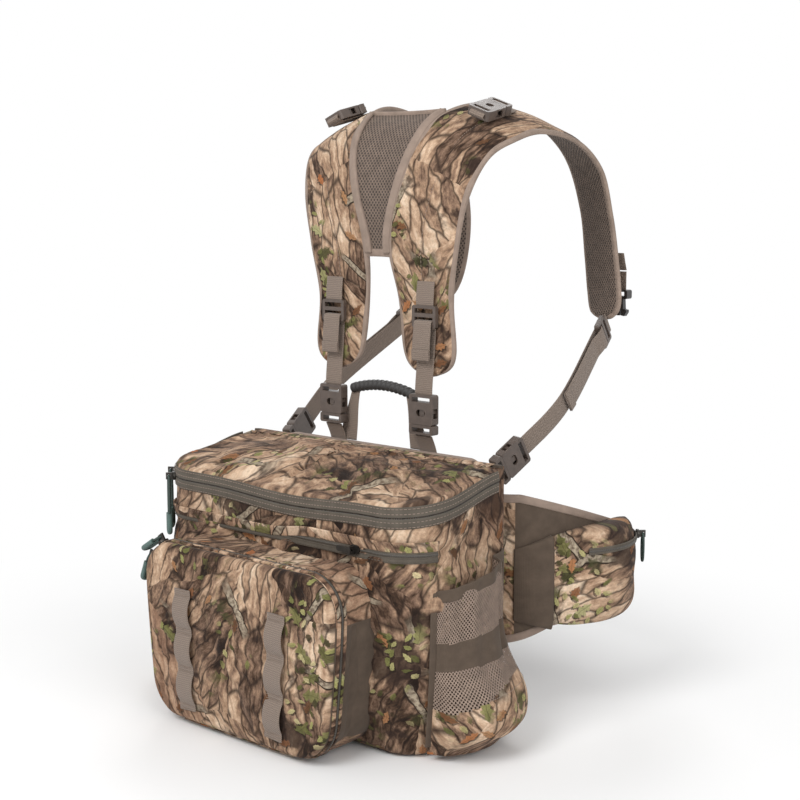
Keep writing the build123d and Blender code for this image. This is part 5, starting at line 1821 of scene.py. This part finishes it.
class PACK_OT_shoulder_pads(bpy.types.Operator):
    """Sew the two curved shoulder pads, bound at the edges and stitched down the middle"""

    bl_idname = "pack.shoulder_pads"
    bl_label = "Shoulder pads"

    def execute(self, context):
        sizes = context.scene.pack_sizes
        binding_w = sizes.binding_width / MM
        at = np.linspace(*PAD_ENDS, 260)
        middle, across, outward, half = pad_frame(at)
        length = lengths_along(middle)
        from_end = np.minimum(length, length[-1] - length)
        tip = np.sqrt(np.clip(1 - (1 - np.minimum(from_end / PAD_TIP, 1)) ** 2, 0, 1))
        half = half * (0.35 + 0.65 * tip)
        # Section: padding swells between the bound edges, and dips at the middle stitching.
        v = np.linspace(-1, 1, 49)
        swell = (1 - np.abs(v) ** 3.2) ** 0.8
        edge_t, crown_t = 1.9, 3.0
        outer_face = edge_t + crown_t * swell
        wide = half[:, None] * v[None]
        dip = 1.5 * np.exp(-(wide / 1.5) ** 2)
        lumps = waves(middle[:, None] + across[:, None] * wide[..., None], 70, 61) * 0.7 * swell
        end = np.minimum(from_end / 6, 1)[:, None] ** 0.5
        outer = (outer_face[None] + lumps - dip) * end
        inner = -(edge_t + 0.7 * crown_t * swell[None]) * end
        sheet = middle[:, None] + across[:, None] * wide[..., None]
        outer = sheet + outward[:, None] * outer[..., None]
        inner = sheet + outward[:, None] * inner[..., None]
        grid = np.concatenate([outer, inner[:, ::-1], outer[:, :1]], axis=1)
        first, last = (
            np.repeat(end[None, None], grid.shape[1], axis=1) for end in middle[[0, -1]]
        )
        grid = np.concatenate([first, grid, last])
        wide_all = np.concatenate([wide, wide[:, ::-1], wide[:, :1]], axis=1)
        wide_all = np.concatenate([wide_all[:1], wide_all, wide_all[-1:]])
        along = np.concatenate([length[:1], length, length[-1:]])[:, None]
        uv = np.stack(np.broadcast_arrays(wide_all + 60, along), axis=-1)
        kinds = np.concatenate([np.zeros(49, int), np.ones(49, int)])[None, :]
        edge = np.concatenate([
            middle - across * (half - binding_w * 0.36)[:, None],
            (middle + across * (half - binding_w * 0.36)[:, None])[::-1],
        ])
        away = np.concatenate([-across, across[::-1]])
        edge = np.vstack([edge, edge[:1]])
        away = np.vstack([away, away[:1]])
        outs = np.concatenate([outward, outward[::-1], outward[:1]])
        section = oval_section(binding_w, 2 * edge_t + 1.8, 20, 0.5)
        binding = (
            edge[:, None] + away[:, None] * section[None, :, :1]
            + outs[:, None] * section[None, :, 1:]
        )
        top_line = middle + outward * (edge_t + crown_t - 1.25)
        for side, flip in sides():
            piece = add_piece(f"shoulder_pad_cover_{side}", [grid * flip], [uv], [kinds])
            dress(
                piece, "pack", "padded_fabric", material("camo"), material("spacer"),
                replaces=[f"shoulder_pad_{side}"],
            )
            band = add_piece(
                f"shoulder_pad_binding_{side}", [binding * flip],
                [strip_uv(binding, section)],
            )
            dress(band, "pack", "webbing", material("binding"))
            row, out = top_line[STITCHED] * flip, outward[STITCHED] * flip
            stitch_row(f"shoulder_pad_stitching_{side}", row, out, "pack")
        return {"FINISHED"}


class PACK_OT_yoke(bpy.types.Operator):
    """Sew the mesh yoke between the shoulder pads, with its bindings"""

    bl_idname = "pack.yoke"
    bl_label = "Yoke"

    def execute(self, context):
        at = np.linspace(YOKE_FIRST - 0.15, YOKE_LAST + 0.1, 90)
        middle, across, outward, half = pad_frame(at)
        inner = middle - across * (half + 0.2)[:, None] + outward * 0.4
        v = np.linspace(-1, 1, 61)
        sag = 1.6 * (1 - v ** 2)
        rows = []
        for lift in (1.5, -1.5):
            points = inner[:, None] * np.array((0, 1, 1)) + X * (inner[:, :1] * v[None])[..., None]
            flat_out = unit(outward * np.array((0, 1, 1)))
            rows.append(points + flat_out[:, None] * (lift - sag[None, :, None]))
        grid = np.concatenate([rows[0], rows[1][:, ::-1], rows[0][:, :1]], axis=1)
        grid = np.concatenate([closed_end(grid, 0), grid])
        length = lengths_along(inner)
        wide = inner[:, :1] * v[None]
        wide = np.concatenate([wide, wide[:, ::-1], wide[:, :1]], axis=1)
        wide = np.concatenate([wide[:1], wide])
        along = np.concatenate([length[:1], length])[:, None]
        uv = np.stack(np.broadcast_arrays(wide, along), axis=-1)
        piece = add_piece("yoke_net", [grid], [uv])
        dress(piece, "pack", "mesh_fabric", material("spacer"), replaces=["yoke_mesh"])
        top = rows[0][-1] * 0.5 + rows[1][-1] * 0.5
        low = rows[0][0] * 0.5 + rows[1][0] * 0.5
        down = unit(inner[0] - inner[3]) * np.array((0, 1, 1))
        strap("yoke_top_binding", top, outward[-1] * 0.2 + down, 10.0, 5.0, "binding")
        strap("yoke_low_binding", low, down, 9.0, 5.0, "binding")
        edge = inner + outward * 1.2 - across * 3.0
        both_straps("yoke_side_binding", edge, across, 10.0, 4.6, "binding")
        return {"FINISHED"}


# ------------------------------------------------------------------ straps of the harness
def side_strap_frame():
    """Start, direction along, and outward direction of the right side strap's chord."""
    chord = SIDE_END - SIDE_START
    along = unit(chord)
    out = unit(X - along * along[0])
    return chord, along, out


def adjusting_route(mouth, bar_dir, ladder, ladder_dir, ladder_out, bows=()):
    """Middle line of an adjusting strap from a socket's bar up to its ladder lock."""
    behind = -ladder_out * (WEB_T / 2 + 0.3)
    start = mouth + bar_dir * (SOCKET_L - BAR * 0.5)
    return np.array([
        start, mouth + bar_dir * (SOCKET_L + 8), *bows, ladder - ladder_dir * 14 + behind,
        ladder + ladder_dir * (LOWER_BAR + 0.3) + behind,
        ladder + ladder_dir * (LOWER_BAR + 1.3),
    ])


def tail_route(ladder, ladder_dir, ladder_out, tail):
    """Middle line of the free end, from over the ladder lock's lower bar."""
    before = ladder_out * (LADDER_T + 0.8 + 0.3 + WEB_T / 2)
    return np.array([
        ladder + ladder_dir * (LOWER_BAR + 1.3) + ladder_out * 1.0,
        ladder + ladder_dir * (LOWER_BAR + 1.0) + before,
        ladder - ladder_dir * 2 + before * 1.05,
        ladder - ladder_dir * tail * 0.5 + before * 1.35,
        ladder - ladder_dir * tail + before * 1.25,
    ])


class PACK_OT_straps(bpy.types.Operator):
    """Thread the adjusting straps through their sockets and ladder locks"""

    bl_idname = "pack.straps"
    bl_label = "Adjusting straps"

    def execute(self, context):
        chord, along, out = side_strap_frame()
        lean = np.arctan2(SIDE_BULGE, np.linalg.norm(chord) * RISE_SHARE)
        side_dir = along * np.cos(lean) + out * np.sin(lean)
        side_mouth = SIDE_START + side_dir * SIDE_BUCKLE
        ladder_dir = along * np.cos(lean) - out * np.sin(lean)
        ladder_out = out * np.cos(lean) + along * np.sin(lean)
        bows = [SIDE_START + chord * s + out * SIDE_BULGE for s in (RISE_SHARE, 1 - RISE_SHARE)]
        routes = {
            "rear": (REAR_STRAP, Z, REAR_LADDER, Z, -Y, (), REAR_TAIL, X),
            "side": (side_mouth, side_dir, SIDE_END, ladder_dir, ladder_out, bows, SIDE_TAIL,
                     np.cross(along, out)),
        }
        for kind, (mouth, bar_dir, ladder, up, face, bow, tail, across) in routes.items():
            main = adjusting_route(mouth, bar_dir, ladder, up, face, bow)
            main = resample(rounded(main, 3), 140)
            free = tail_route(ladder, up, face, tail)
            if kind == "side":
                # The long free end lies along the strap, a little off it.
                along_main = main[::-1][18:86]
                free = np.vstack([free[:3], along_main + face * 4.6])
            free = resample(rounded(free, 3), 90)
            for side, flip in sides():
                section = oval_section(WEB_W, 1.7)
                grid = carried(main, across, section)
                strip = add_piece(
                    f"{kind}_strap_main_{side}", [grid * flip], [strip_uv(grid, section)]
                )
                strip.data.materials.append(material("webbing"))
                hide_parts(f"{kind}_strap_{side}")
                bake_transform(strip)
                strap(f"{kind}_strap_tail_{side}", free * flip, across * flip, WEB_W, 1.7)
                hem = resample(np.array([free[-1], free[-1] + unit(free[-8] - free[-1]) * 12]), 8)
                hem = (hem + face * 1.7) * flip
                strap(f"{kind}_strap_hem_{side}", hem, across * flip, WEB_W, 1.5)

        # Tabs that sew the plugs to the pad, and the ladder locks to the shoulder pads.
        low = np.array((REAR_STRAP[0], REAR_STRAP[1], PAD_HIGH[2] - 26))
        rear_tab = np.array([
            low + Y * 13.6, low + Z * 27 + Y * 9, REAR_STRAP - Z * (PLUG_BASE + 2)
        ])
        upper = REAR_LADDER + Z * (LADDER_L + 0.5) - Y * (LADDER_T / 2)
        rear_lock = np.array([REAR_LADDER + Z * (LADDER_L - 2) - Y * 2.5, upper + Z * 6 - Y * 0.6,
                              upper + Z * 24 + Y * 1.6, upper + Z * 26 + Y * 1.6])
        side_tab = np.array([
            SIDE_START - side_dir * 8, SIDE_START, side_mouth - side_dir * (PLUG_BASE + 1)
        ])
        lock_top = SIDE_END + ladder_dir * (LADDER_L - 2) + ladder_out * (LADDER_T / 2)
        side_lock = np.array([lock_top, lock_top + ladder_dir * 5, lock_top + ladder_dir * 9])
        tabs = {
            "rear_plug_tab": (rear_tab, X), "rear_lock_tab": (rear_lock, X),
            "side_plug_tab": (side_tab, np.cross(along, out)),
            "side_lock_tab": (side_lock, np.cross(along, out)),
        }
        for name, (route, across) in tabs.items():
            line = resample(rounded(route, 3), 24)
            both_straps(name, line, across, WEB_W, 1.9, replaces=["strap_tabs"])
        return {"FINISHED"}


TOP_LIFT = 1.3
TOP_INSET = 11.0
CHEST_X = 136.0    # where the chest strap's tabs meet the pads


class PACK_OT_top_webbing(bpy.types.Operator):
    """Thread the folded webbing of the shoulder-top and chest buckles"""

    bl_idname = "pack.top_webbing"
    bl_label = "Top and chest webbing"

    def execute(self, context):
        low, high = SHOULDER[7], SHOULDER[8]
        run = unit(np.array((0, high[0] - low[0], high[1] - low[1])))
        roll = np.radians((low[4] + high[4]) / 2)
        off_body = np.cross(X, run)
        out = off_body * np.cos(roll) + X * np.sin(roll)
        middle = np.array(((low[2] + low[3] + high[2] + high[3]) / 4, (low[0] + high[0]) / 2,
                           (low[1] + high[1]) / 2))
        along = -run
        across = np.cross(along, out)
        origin = middle + across * TOP_INSET
        web_out = SHOULDER_T / 2 + TOP_LIFT + WEB_T / 2
        above = web_out + WEB_T + 0.3 + BUCKLE_T
        half = 28.0
        tab = origin + out * web_out + along * np.array([[half], [-half]])
        socket_bar = origin + along * (SOCKET_L - BAR / 2) + out * (above - BUCKLE_T / 2 - 1)
        plug_bar = origin - along * (PLUG_BASE - 1) + out * (above - BUCKLE_T / 2 - 1)
        routes = {
            "top_tab": (tab, ["strap_tabs"]),
            "top_socket_fold": (np.array([
                origin + along * (half + 1) + out * web_out,
                socket_bar + along * 5 - out * 2, socket_bar + along * 2.6 + out * 1.6,
                socket_bar - along * 1 + out * 2.8, socket_bar - along * 5 + out * 2.4,
            ]), []),
        }
        for name, (route, nodes) in routes.items():
            line = resample(rounded(route, 3), 40)
            both_straps(name, line, across, TOP_WEB_W - 0.6, 1.5, replaces=nodes)
        plug_fold = np.array([
            plug_bar - along * 1.0 - out * 2.4, plug_bar - along * 5 - out * 1.0,
            plug_bar - along * 6 + out * 1.6, plug_bar - along * 3 + out * 3.2,
            plug_bar + along * 2 + out * 3.4,
        ])
        line = resample(rounded(plug_fold, 3), 40)
        for side, flip in sides():
            strap(
                f"top_plug_fold_{side}", line * flip, across * flip, TOP_WEB_W - 0.6, 1.5,
                body=f"top_plug_{side}",
            )

        # Chest strap halves: the sewn tab stays with the pad, the webbing hangs.
        for side, flip in sides():
            web_low, web_high = node_box(f"sternum_web_{side}")
            middle = (web_low + web_high) / 2
            route = np.array([
                (middle[0], middle[1], web_low[2] - 3), (middle[0], middle[1], web_high[2] - 1.1),
            ])
            strap(
                f"chest_webbing_{side}", resample(route, 20), X, TOP_WEB_W - 0.4, 1.8,
                body=f"sternum_{side}", replaces=[f"sternum_web_{side}"],
            )
            face_y = pad_front_y(CHEST_X) + 1.3
            route = np.array([
                (middle[0], middle[1], web_high[2] + 0.6),
                (middle[0], (middle[1] + face_y) / 2, web_high[2] + 10),
                (middle[0], face_y, web_high[2] + 21),
            ])
            strap(f"chest_tab_{side}", resample(route, 20), X, TOP_WEB_W, 1.8)
        return {"FINISHED"}


def pad_front_y(x):
    """Front face of the shoulder pad at its chest station."""
    y, _, inner, outer, roll = SHOULDER[12]
    roll = np.radians(roll)
    return y + SHOULDER_T / 2 / np.cos(roll) - (x - (inner + outer) / 2) * np.tan(roll)


# ------------------------------------------------------------------ handle
class PACK_OT_handle(bpy.types.Operator):
    """Mould the ribbed carry handle and sew its webbing legs"""

    bl_idname = "pack.handle"
    bl_label = "Carry handle"

    def execute(self, context):
        low, high = node_box("handle_grip")
        middle = (low + high) / 2
        half, rise, radius = 46.0, 7.0, 6.3
        grip_z = high[2] - 6.5 - rise
        share = np.linspace(-1, 1, 241)
        height = grip_z + rise * (1 - share ** 2)
        line = np.stack([half * share, np.full(241, middle[1]), height], axis=1)
        turn = np.linspace(0, 2 * np.pi, 25)
        # Ribs: the radius swells and falls along the grip, slanting round it.
        ribs = np.cos(share[:, None] * 44 + turn[None] * 1.0)
        calm = smooth_step(1 - np.abs(share), 0.04, 0.12)[:, None]
        size = radius * (0.93 + 0.07 * ribs * calm)
        ahead = tangents(line)
        side = np.broadcast_to(Y, line.shape)
        up = np.cross(ahead, side)
        grid = (
            line[:, None] + side[:, None] * (size * np.cos(turn))[..., None]
            + up[:, None] * (size * np.sin(turn))[..., None]
        )
        grid = np.concatenate([
            np.repeat(line[:1, None], 25, axis=1), grid, np.repeat(line[-1:, None], 25, axis=1)
        ])
        piece = add_piece("handle_grip_ribbed", [grid], [cloth_uv(grid)])
        dress(piece, "handle", "grip_rubber", material("handle"), replaces=["handle_grip"])
        leg_low, leg_high = node_box("handle_legs")
        for name, flip in sides():
            base, top = leg_low[2], leg_high[2] + 4
            up = np.linspace(0, 1, 30)
            centre = 54.0 + (42.0 - 54.0) * up ** 1.3
            half_w = 12.5 + (6.5 - 12.5) * smooth_step(up, 0.1, 1.0)
            z = base + (top - base) * up
            section = oval_section(2.0, 1.7)
            grid = np.stack([
                flip[0] * (centre[:, None] + half_w[:, None] * section[None, :, 0]),
                middle[1] + np.broadcast_to(section[None, :, 1], (30, len(section))),
                np.broadcast_to(z[:, None], (30, len(section))),
            ], axis=-1)
            grid = np.concatenate([closed_end(grid, 0), grid])
            uv = np.stack([grid[..., 2], grid[..., 0]], axis=-1)
            leg = add_piece(f"handle_leg_{name}", [grid], [uv])
            dress(leg, "handle", "webbing", material("webbing"), replaces=["handle_legs"])
        return {"FINISHED"}


# ------------------------------------------------------------------ panel and run
OPERATORS = (
    PACK_OT_stage, PACK_OT_pull_cords, PACK_OT_hardware, PACK_OT_bag_body, PACK_OT_lid,
    PACK_OT_main_zip, PACK_OT_small_zips, PACK_OT_front_pocket, PACK_OT_daisy_chains,
    PACK_OT_bottle_pockets, PACK_OT_back_pad, PACK_OT_belt, PACK_OT_shoulder_pads, PACK_OT_yoke,
    PACK_OT_straps, PACK_OT_top_webbing, PACK_OT_handle,
)


class PACK_PT_sidebar(bpy.types.Panel):
    """Lists the steps that make the pack, with its sizes and colours"""

    bl_idname = "PACK_PT_sidebar"
    bl_label = "Hunting Lumbar Pack"
    bl_space_type = "VIEW_3D"
    bl_region_type = "UI"
    bl_category = "Pack"

    def draw(self, context):
        for step in OPERATORS:
            self.layout.operator(step.bl_idname)
        for group in (context.scene.pack_sizes, context.scene.pack_colours):
            for name in group.bl_rna.properties.keys():
                if name not in ("rna_type", "name"):
                    self.layout.prop(group, name)


CLASSES = (PackSizes, PackColours, *OPERATORS, PACK_PT_sidebar)


def register():
    """Registers the classes and the scene's settings."""
    for item in CLASSES:
        bpy.utils.register_class(item)
    bpy.types.Scene.pack_sizes = bpy.props.PointerProperty(type=PackSizes)
    bpy.types.Scene.pack_colours = bpy.props.PointerProperty(type=PackColours)


def unregister():
    """Removes them again."""
    del bpy.types.Scene.pack_colours
    del bpy.types.Scene.pack_sizes
    for item in reversed(CLASSES):
        bpy.utils.unregister_class(item)


def main():
    """Makes the whole pack."""
    register()
    for step in OPERATORS:
        group, name = step.bl_idname.split(".")
        getattr(getattr(bpy.ops, group), name)()
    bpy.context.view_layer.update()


if __name__ == "__main__":
    main()
